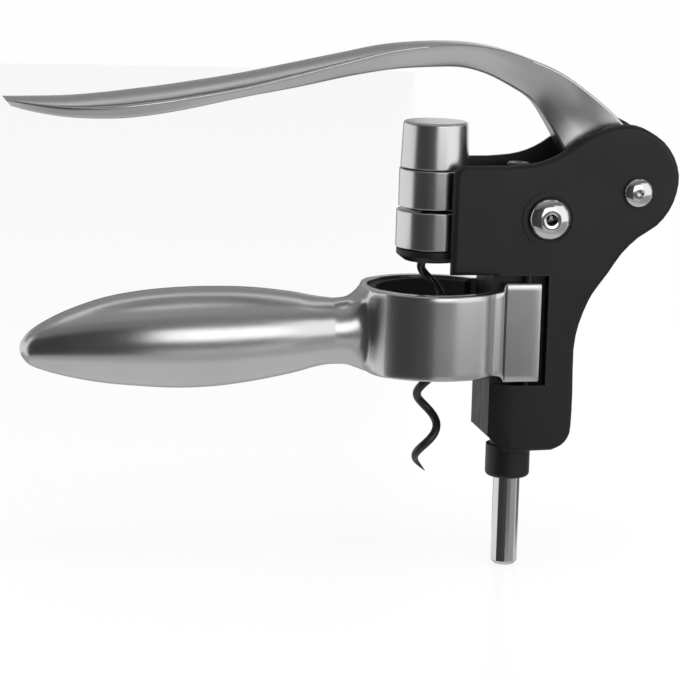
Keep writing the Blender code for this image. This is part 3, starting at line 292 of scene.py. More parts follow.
# %% The finishes
LOOKS = {
    "satin_zinc": finish("satin_zinc", (0.64, 0.64, 0.645), (0.76, 0.76, 0.76), 1.0, (0.235, 0.265),
                         (2600.0, 0.0000006), wear_scale=40.0, edge=0.3),
    "polished_steel": finish("polished_steel", (0.66, 0.66, 0.665), (0.78, 0.78, 0.78), 1.0, (0.10, 0.14),
                             (3500.0, 0.0000003), edge=0.3),
    "black_moulding": finish("black_moulding", (0.0062, 0.0062, 0.0065), (0.030, 0.030, 0.031), 0.0,
                             (0.42, 0.52), (2200.0, 0.000012), edge=0.35, specular=0.42),
    "black_liner": finish("black_liner", (0.014, 0.014, 0.014), (0.035, 0.035, 0.035), 0.0, (0.62, 0.78),
                          (1500.0, 0.00002), edge=0.3, specular=0.35),
    "black_worm": finish("black_worm", (0.022, 0.022, 0.023), (0.06, 0.06, 0.06), 0.3, (0.26, 0.36),
                         (2500.0, 0.000004), edge=0.2),
    "plain_steel": finish("plain_steel", (0.42, 0.42, 0.425), (0.56, 0.56, 0.56), 1.0, (0.30, 0.42),
                          (1800.0, 0.000004), edge=0.4),
    "natural_nylon": finish("natural_nylon", (0.72, 0.71, 0.66), (0.78, 0.77, 0.73), 0.0, (0.42, 0.52),
                            (1500.0, 0.00001), edge=0.3),
}
print(len(LOOKS), "finishes")


# %% [markdown]
# A finished piece gets its finish, rides on the body that carries it, and hides the CAD nodes it stands
# for. One helper does all of that, so that no piece forgets a step.

# %% Helper that finishes a piece
def finished(obj, name, body, slot, *nodes):
    obj.name = name
    obj.data.name = name
    obj.data.materials.clear()
    obj.data.materials.append(LOOKS[slot])
    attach(obj, body)
    if nodes:
        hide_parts(*nodes)
    print(name, "faces", len(obj.data.polygons), "on", body)


# %% [markdown]
# ## Turned pieces
#
# The cap, the rings, the rivets and the rod are turned shapes. On a lathe the tool follows one outline, and
# here it is the same: the outline is drawn point by point by extruding a vertex, and Spin turns it once
# round. The profile is given from the top of the outer side down, as radius and height.

# %% Draw an outline and spin it
def draw(points, closed):
    """A line through the points, drawn by extruding one vertex from place to place."""
    bpy.ops.object.select_all(action="DESELECT")
    bpy.ops.mesh.primitive_plane_add(size=WELD * 10, location=(0, 0, 0))
    obj = bpy.context.object
    bpy.ops.object.mode_set(mode="EDIT")
    bpy.ops.mesh.select_all(action="SELECT")
    bpy.ops.mesh.merge(type="CENTER")
    bpy.ops.mesh.select_all(action="SELECT")
    bpy.ops.transform.translate(value=points[0])
    for here, there in zip(points, points[1:]):
        step = [b - a for a, b in zip(here, there)]
        bpy.ops.mesh.extrude_vertices_move(TRANSFORM_OT_translate={"value": step})
    if closed:
        step = [b - a for a, b in zip(points[-1], points[0])]
        bpy.ops.mesh.extrude_vertices_move(TRANSFORM_OT_translate={"value": step})
    bpy.ops.object.mode_set(mode="OBJECT")
    return obj


def turned(profile, closed=False, steps=FINE_STEPS, angle=30):
    """Spin an outline of (radius, height) points about Z."""
    obj = draw([(radius, 0, height) for radius, height in profile], closed)

    def spin():
        bpy.ops.mesh.spin(steps=steps, angle=FULL_TURN, center=(0, 0, 0), axis=(0, 0, 1))
    edit(obj, spin)
    edit(obj, weld, face_out)
    return even_normals(smooth(obj, angle))


def stood(obj, x, z, side):
    """Lay a turned piece along Y, its top pointing outwards on one side, at a place in X and Z."""
    obj.matrix_world = Matrix.Translation((x, 0, z)) @ Matrix.Rotation(-side * QUARTER, 4, "X")
    return settle(obj)


def moved(obj, x, y=0.0, z=0.0):
    obj.location = (x, y, z)
    return settle(obj)


def corner(radius, height, round_radius, start, steps=4):
    """Points of a quarter round about a centre, from an angle in degrees through a quarter turn down."""
    points = []
    for i in range(steps + 1):
        angle = math.radians(start - 90 * i / steps)
        points.append((radius + round_radius * math.cos(angle), height + round_radius * math.sin(angle)))
    return points


# %% [markdown]
# The cap is a bright cup with a slight taper, a rounded top rim and a fine chamfer where it meets the ring
# below. The dark line between the two is a real gap, so it needs no paint.

# %% The cap
CAP_LOW, CAP_HIGH = 0.0472, 0.0606
CAP_TOP_RADIUS, CAP_LOW_RADIUS = 0.0095, 0.0100
CAP_ROUND, RIM = 0.0009, 0.00035
CAP_BORE, CAP_BORE_DEPTH = 0.0068, 0.0085
cap_outline = ([(0, CAP_HIGH), (CAP_TOP_RADIUS * 0.5, CAP_HIGH)]
               + corner(CAP_TOP_RADIUS - CAP_ROUND, CAP_HIGH - CAP_ROUND, CAP_ROUND, 90)
               + corner(CAP_LOW_RADIUS - RIM, CAP_LOW + RIM, RIM, 0, 3)
               + [(CAP_BORE, CAP_LOW), (CAP_BORE, CAP_LOW + CAP_BORE_DEPTH), (0, CAP_LOW + CAP_BORE_DEPTH)])
finished(turned(cap_outline), "cap", "carriage", "satin_zinc", "worm_cap")


# %% [markdown]
# The carriage is the middle ring with a block behind it that holds the rod, and two slotted plates that
# reach down inside the body. The block is taken from the CAD node: a welded copy is cut off behind the
# ring, and the ring is turned afresh.

# %% Copy a node, and cut a copy
def copy_of(node, angle=35):
    """A welded copy of a CAD node, with flat faces joined up and smooth shading between soft angles."""
    obj = bpy.data.objects.new("copy_" + node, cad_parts[node].data.copy())
    bpy.context.scene.collection.objects.link(obj)
    for layer in list(obj.data.attributes):
        if layer.name == "custom_normal":
            obj.data.attributes.remove(layer)

    def flatten():
        bpy.ops.mesh.dissolve_limited(angle_limit=FLAT_WITHIN)
    edit(obj, weld, flatten)
    return smooth(obj, angle)


def cut_away(obj, place, direction):
    """Keep the side that the direction points away from, and close the cut."""
    def bisect():
        bpy.ops.mesh.bisect(plane_co=place, plane_no=direction, use_fill=True, clear_outer=True)
    return edit(obj, bisect)


# %% The carriage
RING_HIGH, RING_LOW = 0.0469, 0.0357
CARRIAGE_R, CARRIAGE_CUT = 0.0103, 0.0088
WIDE_BORE, NARROW_BORE, BORE_STEP = 0.0060, 0.0049, 0.0412
ring_outline = ([(WIDE_BORE, RING_HIGH)] + corner(CARRIAGE_R - RIM, RING_HIGH - RIM, RIM, 90, 3)
                + corner(CARRIAGE_R - RIM, RING_LOW + RIM, RIM, 0, 3)
                + [(NARROW_BORE, RING_LOW), (NARROW_BORE, BORE_STEP), (WIDE_BORE, BORE_STEP)])
carriage_block = cut_away(copy_of("carriage"), (CARRIAGE_CUT, 0, 0), (-1, 0, 0))
carriage = combine(turned(ring_outline, True), carriage_block, "UNION")
finished(smooth(carriage, 30), "carriage_look", "carriage", "satin_zinc", "carriage")

# %% The lower ring and its bracket
NUT_HIGH, NUT_LOW = 0.0348, 0.0238
NUT_R, NUT_BORE, NUT_CUT = 0.0108, 0.0073, 0.0090
nut_outline = ([(NUT_BORE, NUT_HIGH)] + corner(NUT_R - RIM, NUT_HIGH - RIM, RIM, 90, 3)
               + corner(NUT_R - RIM, NUT_LOW + RIM, RIM, 0, 3) + [(NUT_BORE, NUT_LOW)])
bracket = cut_away(copy_of("nut_ring"), (NUT_CUT, 0, 0), (-1, 0, 0))
nut_ring = combine(turned(nut_outline, True), bracket, "UNION")
finished(smooth(nut_ring, 30), "nut_ring_look", "frame", "satin_zinc", "nut_ring")


# %% [markdown]
# The large rivets are polished domes with a hole in the middle and a fine rolled rim round it. The small
# one is the lever's pin: the same dome with a dimple. Both are seen close to black plastic, so their
# outline and the way they mirror the room matter more than anything else on them.

# %% The rivets and the pin
def dome(radius, base, height, inner, steps=14):
    """Points of a quarter oval, from its top beside the hole out and down to its base."""
    points = []
    for i in range(steps + 1):
        angle = QUARTER * i / steps
        points.append((inner + (radius - inner) * math.sin(angle), base + height * math.cos(angle)))
    return points


DOME_BASE = CHEEK_Y + 0.0003
RIVET_BORE, RIVET_SHANK, RIVET_FLANGE = 0.0015, 0.0026, 0.0038
FLANGE_OUT, FLANGE_IN = 0.0101, 0.0093
PIN_SHANK = 0.0025
for word, side in SIDES:
    lip = [(RIVET_BORE, DOME_BASE + 0.0022), (0.0017, DOME_BASE + 0.0026)]
    outline = lip + dome(0.0063, DOME_BASE, 0.0028, 0.0020)[1:]
    outline += [(RIVET_SHANK, DOME_BASE), (RIVET_SHANK, FLANGE_OUT), (RIVET_FLANGE, FLANGE_OUT),
                (RIVET_FLANGE, FLANGE_IN), (RIVET_BORE, FLANGE_IN)]
    rivet = stood(turned(outline, True), RIVET.x, RIVET.z, side)
    finished(rivet, "rivet_" + word, "frame", "polished_steel", "cover_rivet_" + word)

pin_top = [(0, DOME_BASE + 0.0014), (0.0005, DOME_BASE + 0.00145), (0.0009, DOME_BASE + 0.0018)]
pin_side = pin_top + dome(0.0044, DOME_BASE, 0.0019, 0.0010) + [(PIN_SHANK, DOME_BASE)]
pin_outline = pin_side + [(radius, -height) for radius, height in reversed(pin_side)]
finished(stood(turned(pin_outline), PIVOT.x, PIVOT.z, 1), "pin", "frame", "polished_steel", "lever_pin")

# %% [markdown]
# The rod is ground and polished, with a chamfered end that stands on the table. Its sleeve is moulded, with
# a round at the lower rim. The black nose under the lowest ring is turned, and the worm's tunnel is cut
# through it by the same helix that makes the worm.

# %% The rod and its sleeve
ROD_R, ROD_LOW, ROD_HIGH = 0.0040, -0.0719, 0.0452
SCREW_R, SCREW_DEPTH = 0.0018, 0.0090
rod_outline = [(0, ROD_HIGH - SCREW_DEPTH), (SCREW_R, ROD_HIGH - SCREW_DEPTH), (SCREW_R, ROD_HIGH),
               (ROD_R - 0.0002, ROD_HIGH), (ROD_R, ROD_HIGH - 0.0002), (ROD_R, ROD_LOW + 0.0012),
               (ROD_R - 0.0001, ROD_LOW + 0.0010), (ROD_R - 0.0010, ROD_LOW + 0.0001),
               (ROD_R - 0.0012, ROD_LOW), (0, ROD_LOW)]
finished(moved(turned(rod_outline), ROD_X), "rod", "carriage", "polished_steel", "guide_rod")

SLEEVE_R, SLEEVE_LOW, SLEEVE_HIGH, SLEEVE_ROUND = 0.0066, -0.0450, -0.0354, 0.0013
SLEEVE_BORE, SPIGOT_R, SPIGOT_HIGH = 0.0044, 0.0055, -0.0240
sleeve_outline = ([(SLEEVE_BORE, SPIGOT_HIGH), (SPIGOT_R, SPIGOT_HIGH), (SPIGOT_R, SLEEVE_HIGH),
                   (SLEEVE_R, SLEEVE_HIGH)]
                  + corner(SLEEVE_R - SLEEVE_ROUND, SLEEVE_LOW + SLEEVE_ROUND, SLEEVE_ROUND, 0, 6)
                  + [(0.0048, SLEEVE_LOW), (SLEEVE_BORE, SLEEVE_LOW + 0.0004)])
finished(moved(turned(sleeve_outline, True), ROD_X), "sleeve", "frame", "black_moulding", "guide_sleeve")

# %% [markdown]
# The worm is one round wire wound in an open helix. A curve with a round bevel is the natural tool: its
# points follow the helix, the radius of each point tapers to the tip, and the wire closes in on the axis
# above to become the straight shank. The curve is then made a mesh.

# %% The worm's line
PITCH, WIRE_R, COIL_R = 0.0191, 0.00125, 0.00305
TIP_Z, HELIX_TOP, SHANK_Z, SHANK_TOP = -0.0440, 0.0350, 0.0409, 0.0520
TIP_ANGLE = math.radians(77)
STEPS_IN_A_TURN = 48
POINT_LENGTH, POINT_SHARE = 0.42 * PITCH, 0.10


def worm_place(z):
    """The middle of the wire at a height."""
    angle = TIP_ANGLE + FULL_TURN * (z - TIP_Z) / PITCH
    closing = min(max((z - HELIX_TOP) / (SHANK_Z - HELIX_TOP), 0), 1)
    radius = COIL_R * (1 + math.cos(math.pi * closing)) / 2
    return radius * math.cos(angle), radius * math.sin(angle), z


def wound(low, high, wire, pointed):
    """A tube along the worm's line between two heights."""
    bpy.ops.object.select_all(action="DESELECT")
    bpy.ops.curve.primitive_nurbs_path_add()
    obj = bpy.context.object
    curve = obj.data
    curve.splines.clear()
    curve.dimensions = "3D"
    curve.bevel_depth = wire
    curve.bevel_resolution = 5
    curve.use_fill_caps = True
    count = int(round((high - low) / PITCH * STEPS_IN_A_TURN))
    line = curve.splines.new("POLY")
    line.points.add(count)
    for i, point in enumerate(line.points):
        z = low + (high - low) * i / count
        point.co = (*worm_place(z), 1)
        grown = math.sin(QUARTER * min((z - low) / POINT_LENGTH, 1))
        point.radius = POINT_SHARE + (1 - POINT_SHARE) * grown if pointed else 1
    choose(obj)
    bpy.ops.object.convert(target="MESH")
    return edit(bpy.context.object, weld, face_out)


worm = smooth(wound(TIP_Z, SHANK_TOP, WIRE_R, True), 40)
finished(worm, "worm_look", "worm", "black_worm", "worm")

# %% The nose with its tunnel
NOSE_HIGH, NOSE_STEP, NOSE_LOW = 0.0339, 0.0235, 0.0200
NOSE_R, NOSE_NECK, NOSE_ROUND = 0.0105, 0.0070, 0.0003
TUNNEL_PAST, TUNNEL_ROOM = 0.0020, 0.0004
nose_outline = ([(0, NOSE_HIGH), (NOSE_NECK, NOSE_HIGH), (NOSE_NECK, NOSE_STEP)]
                + corner(NOSE_R - NOSE_ROUND, NOSE_STEP - NOSE_ROUND, NOSE_ROUND, 90, 3)
                + [(NOSE_R, 0.0220), (0.0104, 0.0217), (0.0085, 0.0202), (0.0082, NOSE_LOW), (0, NOSE_LOW)])
nose = turned(nose_outline)
tunnel = wound(NOSE_LOW - TUNNEL_PAST, NOSE_HIGH + TUNNEL_PAST, WIRE_R + TUNNEL_ROOM, False)
nose = smooth(combine(nose, tunnel, "DIFFERENCE"), 35)
finished(nose, "nose", "frame", "black_moulding", "nut_insert")


# %% [markdown]
# ## Handles
#
# Each handle is one casting: a spindle that fits the palm, a neck that flares into half of the clamping
# ring, and a hinge plate. The castings are smooth from end to end, so each is one skin laid over a run of
# sections. A grid is the primitive: its rows are laid on the sections, the open seam is welded and the ends
# are filled. Every section lies in an upright plane between a point on the inner side and one on the outer.

# %% Lay a grid over sections
def blended(a, b, c, d, t):
    """The smooth curve through four values, from b at t = 0 to c at t = 1."""
    bend_in = (c - a) / 2 - (c - b)
    bend_out = (d - b) / 2 - (c - b)
    return b + (c - b) * t + t * (1 - t) * ((1 - t) * bend_in - t * bend_out)


def flowing(stations, steps):
    """More stations on a smooth curve through the given ones."""
    last = len(stations) - 1
    result = []
    for i in range(last):
        four = (stations[max(i - 1, 0)], stations[i], stations[i + 1], stations[min(i + 2, last)])
        for step in range(steps):
            result.append(tuple(blended(*values, step / steps) for values in zip(*four)))
    result.append(stations[last])
    return result


def skin(sections):
    """A closed skin over sections that all have the same number of points."""
    rows, count = len(sections), len(sections[0])
    bpy.ops.object.select_all(action="DESELECT")
    bpy.ops.mesh.primitive_grid_add(x_subdivisions=rows - 1, y_subdivisions=count, size=1)
    obj = bpy.context.object
    for vert in obj.data.vertices:
        row = round((vert.co.x + 0.5) * (rows - 1))
        place = round((vert.co.y + 0.5) * count) % count
        vert.co = sections[row][place]

    def fill():
        bpy.ops.mesh.select_all(action="DESELECT")
        bpy.ops.mesh.select_mode(type="EDGE")
        bpy.ops.mesh.select_non_manifold(extend=False, use_multi_face=False, use_non_contiguous=False,
                                         use_verts=False)
        bpy.ops.mesh.edge_face_add()
        bpy.ops.mesh.select_mode(type="VERT")
        bpy.ops.mesh.select_all(action="SELECT")
    edit(obj, weld, fill, face_out)
    return obj


# %% The outline of one section
HALF_POINTS = 28
RING_ROUND = 0.0007
FLAT_END, ROUND_END, HALFWAY = 0.14, 0.30, 0.5


def oval(t):
    """A point of a half oval of unit depth and unit height, t from the bottom (0) to the top (1)."""
    angle = -QUARTER + math.pi * t
    return math.cos(angle), math.sin(angle)


def slab(t, depth, high, low, radius=RING_ROUND):
    """A point of a slab's outer outline with rounded corners, t from the bottom (0) to the top (1)."""
    if t > HALFWAY:
        out, up = slab(1 - t, depth, -low, -high, radius)
        return out, -up
    if t < FLAT_END:
        return (depth - radius) * t / FLAT_END, low
    if t < ROUND_END:
        angle = -QUARTER + QUARTER * (t - FLAT_END) / (ROUND_END - FLAT_END)
        return depth - radius + radius * math.cos(angle), low + radius + radius * math.sin(angle)
    middle = (high + low) / 2
    share = (t - ROUND_END) / (HALFWAY - ROUND_END)
    return depth, low + radius + (middle - low - radius) * share


def handle_section(station, side):
    """One section: inner and outer plan points, the top, the bottom, and how square it is."""
    inner_x, inner_y, outer_x, outer_y, high, low, square, radius = station
    depth = math.hypot(outer_x - inner_x, outer_y - inner_y)
    points = []
    for i in range(HALF_POINTS + 1):
        t = i / HALF_POINTS
        out, up = oval(t)
        round_out, round_up = out * depth, (high + low) / 2 + up * (high - low) / 2
        flat_out, flat_up = slab(t, depth, high, low, radius)
        out = (round_out + (flat_out - round_out) * square) / depth
        up = round_up + (flat_up - round_up) * square
        points.append((inner_x + (outer_x - inner_x) * out, side * (inner_y + (outer_y - inner_y) * out), up))
    return points


# %% [markdown]
# The grip's stations are shares of the handle's own length, height and depth. The flare's are points in
# plan: the inner side follows the seam and then turns round the bore, while the outer side leaves the neck
# and runs out tangent to the ring, which is what gives the round bright spot where a real casting has its
# fillet.

# %% The handles' stations
RING_R, RING_WALL, RING_HALF = 0.0218, 0.0030, 0.0124
BORE_R = RING_R - RING_WALL
ROOT_X = -0.0194
TIP_X = -0.1200
HALF_HEIGHT, DEPTH, DROP = 0.0144, 0.0140, 0.0046
SAG = 0.0011
# Grip: share of the length, of the drop, of the half height and of the depth
GRIP_SHARES = (
    (1.000, 1.00, 0.02, 0.02), (0.9985, 1.00, 0.08, 0.07), (0.993, 1.00, 0.17, 0.15),
    (0.973, 0.96, 0.33, 0.30), (0.934, 0.84, 0.48, 0.45), (0.867, 0.68, 0.66, 0.63),
    (0.771, 0.51, 0.84, 0.82), (0.672, 0.40, 0.945, 0.94), (0.559, 0.35, 1.01, 1.00),
    (0.446, 0.28, 1.01, 1.00), (0.333, 0.16, 0.95, 0.95), (0.219, 0.06, 0.83, 0.82),
    (0.148, 0.00, 0.72, 0.69), (0.104, -0.02, 0.675, 0.60),
)
# Flare: length along the inner side from the bore's start, outer x and y, half height, squareness and sag
LEAD_X = ROOT_X - GRIP_SHARES[-1][0] * (ROOT_X - TIP_X)
FLARE = (
    (LEAD_X + BORE_R, LEAD_X, 0.00865, 0.00972, 0.0, 1.0),
    (-0.0090, -0.0268, 0.00830, 0.00970, 0.02, 0.95), (-0.0060, -0.0246, 0.00830, 0.01000, 0.08, 0.80),
    (-0.0038, -0.02238, 0.00830, 0.01100, 0.25, 0.55), (-0.0018, -0.0209, 0.00863, 0.01190, 0.45, 0.30),
    (-0.0006, -0.0199, 0.00933, 0.01225, 0.65, 0.10), (0.0, -0.01928, 0.01017, 0.0124, 0.80, 0.0),
    (0.0036, -0.01807, 0.01219, 0.0124, 0.92, 0.0), (0.0085, -0.0162, 0.01459, 0.0124, 1.0, 0.0),
)
# Where the ring's wall runs into the plate: inner x and y, outer x and y, half height
JOIN = ((0.01460, 0.01190, 0.01665, 0.01440, 0.0124), (0.01650, 0.01105, 0.01755, 0.01422, 0.0125))


def inner_place(value):
    """Inner x and y at a length along the seam, which is negative, or round the bore."""
    if value <= 0:
        return -BORE_R + value, SEAM
    angle = value / BORE_R
    return -BORE_R * math.cos(angle), max(BORE_R * math.sin(angle), SEAM)


def handle_stations():
    """The stations from the grip's tip to the end of the ring's wall, as handle_section reads them."""
    grip = []
    for along, dropped, tall, deep in flowing(GRIP_SHARES, 5):
        x = ROOT_X - along * (ROOT_X - TIP_X)
        middle, half = -dropped * DROP - SAG, tall * HALF_HEIGHT
        grip.append((x, SEAM, x, SEAM + deep * DEPTH, middle + half, middle - half, 0.0, RING_ROUND))
    flare = []
    for place, outer_x, outer_y, half, square, sag in flowing(FLARE, 4)[1:]:
        low = -sag * SAG
        flare.append((*inner_place(place), outer_x, outer_y, low + half, low - half, square, RING_ROUND))
    ring = []
    start, end, count = 50, 136, 25
    for i in range(count + 1):
        angle = math.radians(start + (end - start) * i / count)
        along, across = -math.cos(angle), math.sin(angle)
        ring.append((BORE_R * along, BORE_R * across, RING_R * along, RING_R * across,
                     RING_HALF, -RING_HALF, 1.0, RING_ROUND))
    join = [(*row[:4], row[4], -row[4], 1.0, RING_ROUND) for row in JOIN]
    return grip + flare + ring + join


PLATE_IN, PLATE_OUT, PLATE_TOP, PLATE_BOTTOM = 0.01061, 0.01460, 0.01520, -0.01420
# Plate: x, inner y, outer y, top, bottom and corner round
PLATE = (
    (0.01810, 0.01090, 0.01415, 0.01262, -0.01255, 0.0007),
    (0.01870, PLATE_IN, 0.01412, 0.01315, -0.01290, 0.0007),
    (0.01900, PLATE_IN, 0.01414, 0.01400, -0.01340, 0.0007),
    (0.01912, PLATE_IN, 0.01435, 0.01470, -0.01385, 0.0007),
    (0.01935, PLATE_IN, 0.01453, 0.01505, -0.01412, 0.0008),
    (0.01975, PLATE_IN, PLATE_OUT, PLATE_TOP, PLATE_BOTTOM, 0.0009),
    (0.02690, PLATE_IN, PLATE_OUT, PLATE_TOP, PLATE_BOTTOM, 0.0009),
    (0.02930, 0.01215, PLATE_OUT, PLATE_TOP, PLATE_BOTTOM, 0.0009),
    (0.02965, 0.01237, 0.01452, 0.01512, -0.01412, 0.0008),
    (0.02992, 0.01255, 0.01432, 0.01492, -0.01392, 0.0007),
    (0.03000, 0.01262, 0.01405, 0.01465, -0.01365, 0.0006),
)
stations = handle_stations()
stations += [(x, inner, x, outer, high, low, 1.0, radius) for x, inner, outer, high, low, radius in PLATE]
print("sections in a handle", len(stations))

# %% The two handles
HINGE = Vector((0.0263, 0.01255, 0))
HINGE_HOLE = 0.0012
DRILL_LENGTH = 0.04


def drill(radius, place, turn=(0, 0, 0)):
    """A plain round cutter, upright unless it is turned."""
    bpy.ops.object.select_all(action="DESELECT")
    bpy.ops.mesh.primitive_cylinder_add(vertices=48, radius=radius, depth=DRILL_LENGTH, rotation=turn,
                                        location=place)
    return settle(bpy.context.object)


for word, side in SIDES:
    handle = skin([handle_section(station, side) for station in stations])
    hole = drill(HINGE_HOLE, (HINGE.x, side * HINGE.y, 0))
    handle = smooth(combine(handle, hole, "DIFFERENCE"), 38)
    finished(handle, "handle_look_" + word, "handle_" + word, "satin_zinc", "handle_" + word)

# %% [markdown]
# ## Lever
#
# The lever is another casting: a long grip with a crowned top and a crisp ridge along each side, an arch
# that stands on edge, and a hub inside the body with two crank arms. The grip and arch are a skin over
# sections. Each section has small rounds at its corners, because the ridge's thin bright line is the
# lever's most telling detail.

# %% The lever's stations
REACH, RISE, GRIP_WIDTH, CROWN = 0.1830, 0.0420, 0.0220, 0.0034
# Lever: the top's x and z, the underside's x and z, the width, the crown, and the underside's share of width
LEVER_SHARES = (
    (-1.000, 0.598, -0.988, 0.540, 0.38, 0.25, 0.90), (-0.962, 0.600, -0.955, 0.508, 0.62, 0.45, 0.90),
    (-0.902, 0.607, -0.903, 0.478, 0.84, 0.75, 0.90), (-0.847, 0.628, -0.841, 0.473, 0.95, 0.95, 0.90),
    (-0.802, 0.652, -0.792, 0.489, 1.00, 1.00, 0.90), (-0.733, 0.693, -0.726, 0.535, 1.00, 1.00, 0.88),
    (-0.633, 0.766, -0.628, 0.625, 0.94, 0.95, 0.86), (-0.551, 0.840, -0.546, 0.690, 0.86, 0.80, 0.80),
    (-0.471, 0.914, -0.464, 0.763, 0.77, 0.62, 0.70), (-0.403, 0.974, -0.391, 0.812, 0.70, 0.42, 0.60),
    (-0.332, 1.000, -0.328, 0.828, 0.65, 0.22, 0.52), (-0.276, 1.000, -0.278, 0.826, 0.62, 0.14, 0.46),
    (-0.225, 0.969, -0.235, 0.777, 0.60, 0.10, 0.43), (-0.172, 0.900, -0.193, 0.688, 0.59, 0.10, 0.42),
    (-0.117, 0.800, -0.162, 0.602, 0.59, 0.10, 0.45), (-0.062, 0.636, -0.140, 0.478, 0.59, 0.10, 0.55),
    (-0.015, 0.455, -0.117, 0.319, 0.59, 0.10, 0.75), (0.018, 0.240, -0.096, 0.150, 0.59, 0.10, 0.95),
    (0.030, 0.070, -0.060, -0.030, 0.59, 0.10, 1.00),
)
ACROSS = 8
SIDE_SPANS = 3
RIDGE_ROUND = 0.00070


def rounded_corner(before, here, after, radius, steps=3):
    """Points that round a corner, from the side of one neighbour to the side of the other."""
    start = here + (before - here).normalized() * radius
    end = here + (after - here).normalized() * radius
    points = []
    for i in range(steps + 1):
        t = i / steps
        points.append(start * (1 - t) * (1 - t) + here * 2 * t * (1 - t) + end * t * t)
    return points


def lever_section(station):
    """A crowned top, two sides that may lean in, and a flat underside. Points run once round."""
    top_x, top_z, low_x, low_z, width, crown, under = station
    top = PIVOT + Vector((top_x * REACH, 0, top_z * RISE))
    low = PIVOT + Vector((low_x * REACH, 0, low_z * RISE))
    down = (low - top).normalized()
    across = Vector((0, 1, 0))
    half = width * GRIP_WIDTH / 2
    low_half = half * under
    drop = crown * CROWN
    upper = []
    for i in range(2 * ACROSS + 1):
        share = (i - ACROSS) / ACROSS
        upper.append(top + down * drop * share * share + across * half * share)
    right_low = low + across * low_half
    left_low = low - across * low_half
    right = [upper[-1].lerp(right_low, i / SIDE_SPANS) for i in range(1, SIDE_SPANS)]
    left = [left_low.lerp(upper[0], i / SIDE_SPANS) for i in range(1, SIDE_SPANS)]
    floor = [low + across * low_half * share for share in (0.5, 0.0, -0.5)]
    radius = min(RIDGE_ROUND, 0.3 * (low - top).length / SIDE_SPANS, 0.8 * half / ACROSS)
    return (rounded_corner(left[-1], upper[0], upper[1], radius) + upper[1:-1]
            + rounded_corner(upper[-2], upper[-1], right[0], radius) + right
            + rounded_corner(right[-1], right_low, floor[0], radius) + floor
            + rounded_corner(floor[-1], left_low, left[0], radius) + left)


# %% The grip and the arch
lever_stations = flowing(LEVER_SHARES, 6)
lever = skin([lever_section(station) for station in lever_stations])
print("lever skin", len(lever.data.polygons))

# %% The hub and the crank arms
HUB_R, ARM_T, ARM_OUT = 0.0077, 0.0021, 0.0089
ARM_ROOT, ARM_END = 0.0046, 0.0042
PIVOT_HOLE, CRANK_HOLE = 0.0028, 0.0015
CRANK_ANGLE = math.radians(235)
CRANK = PIVOT + CRANK_RADIUS * Vector((math.cos(CRANK_ANGLE), 0, math.sin(CRANK_ANGLE)))
hub = stood(turned([(0, ARM_OUT), (HUB_R - RIM, ARM_OUT), (HUB_R, ARM_OUT - RIM), (HUB_R, RIM - ARM_OUT),
                    (HUB_R - RIM, -ARM_OUT), (0, -ARM_OUT)]), PIVOT.x, PIVOT.z, 1)
lever = combine(lever, hub, "UNION")


def arm(side):
    """The hull of two rings, given thickness: a flat crank arm."""
    bpy.ops.object.select_all(action="DESELECT")
    inner, outer = ARM_OUT - ARM_T, ARM_OUT
    turn = (QUARTER, 0, 0)
    bpy.ops.mesh.primitive_cylinder_add(vertices=48, radius=ARM_ROOT, depth=ARM_T, rotation=turn,
                                        location=(PIVOT.x, side * (inner + outer) / 2, PIVOT.z))
    root = bpy.context.object
    bpy.ops.mesh.primitive_cylinder_add(vertices=48, radius=ARM_END, depth=ARM_T, rotation=turn,
                                        location=(CRANK.x, side * (inner + outer) / 2, CRANK.z))
    root.select_set(True)
    bpy.context.view_layer.objects.active = root
    bpy.ops.object.join()
    settle(root)
    return edit(root, bpy.ops.mesh.convex_hull, face_out)


for word, side in SIDES:
    lever = combine(lever, arm(side), "UNION")
for radius, place in ((PIVOT_HOLE, PIVOT), (CRANK_HOLE, CRANK)):
    lever = combine(lever, drill(radius, (place.x, 0, place.z), (QUARTER, 0, 0)), "DIFFERENCE")
finished(smooth(lever, 34), "lever_look", "lever", "satin_zinc", "lever")

# %% [markdown]
# ## Body and the small pieces inside
#
# The two halves of the body and the pieces inside it have the right shape already. A welded copy of each
# node shades smoothly over its curves and stays crisp at its corners, and where a corner is simple enough
# it also gets a small round.

# %% The body halves
for word, side in SIDES:
    half = even_normals(copy_of("body_" + word, 50))
    finished(half, "body_look_" + word, "frame", "black_moulding", "body_" + word)

# %% The liners
for word, side in SIDES:
    liner = soften(copy_of("jaw_liner_" + word), 0.0003)
    finished(smooth(liner, 40), "liner_" + word, "handle_" + word, "black_liner", "jaw_liner_" + word)

# %% The small pieces
SMALL_ROUND = 0.00012
SMALL = {
    "frame": ("side_plate_left", "side_plate_right", "hinge_pin_left", "hinge_pin_right"),
    "lever": ("lever_washer_left", "lever_washer_right", "crank_pin_left", "crank_pin_right",
              "crank_roller_left", "crank_roller_right"),
    "carriage": ("rod_screw", "thrust_washer"),
    "worm": ("worm_bush", "worm_head"),
}
# The hinge pins and the rod screw take the worm's dark finish.
DARK_FINISH_NODES = ("hinge_pin", "rod_screw")
NYLON = ("lever_washer", "crank_roller", "thrust_washer")
for body, names in SMALL.items():
    for node in names:
        slot = "natural_nylon" if node.startswith(NYLON) else "plain_steel"
        if node.startswith(DARK_FINISH_NODES):
            slot = "black_worm"
        small = smooth(soften(copy_of(node), SMALL_ROUND), 35)
        finished(small, node + "_look", body, slot, node)

# %% [markdown]
# The CAD nodes that are hidden keep their collision shapes. They get the same finishes, so that nothing in
# the file is left plain.

# %% Finishes on the CAD nodes
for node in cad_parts.values():
    for slot in node.material_slots:
        key = slot.material.name.split(".")[0] if slot.material else ""
        slot.material = LOOKS.get(key, LOOKS["plain_steel"])
print("nodes finished", len(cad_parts))

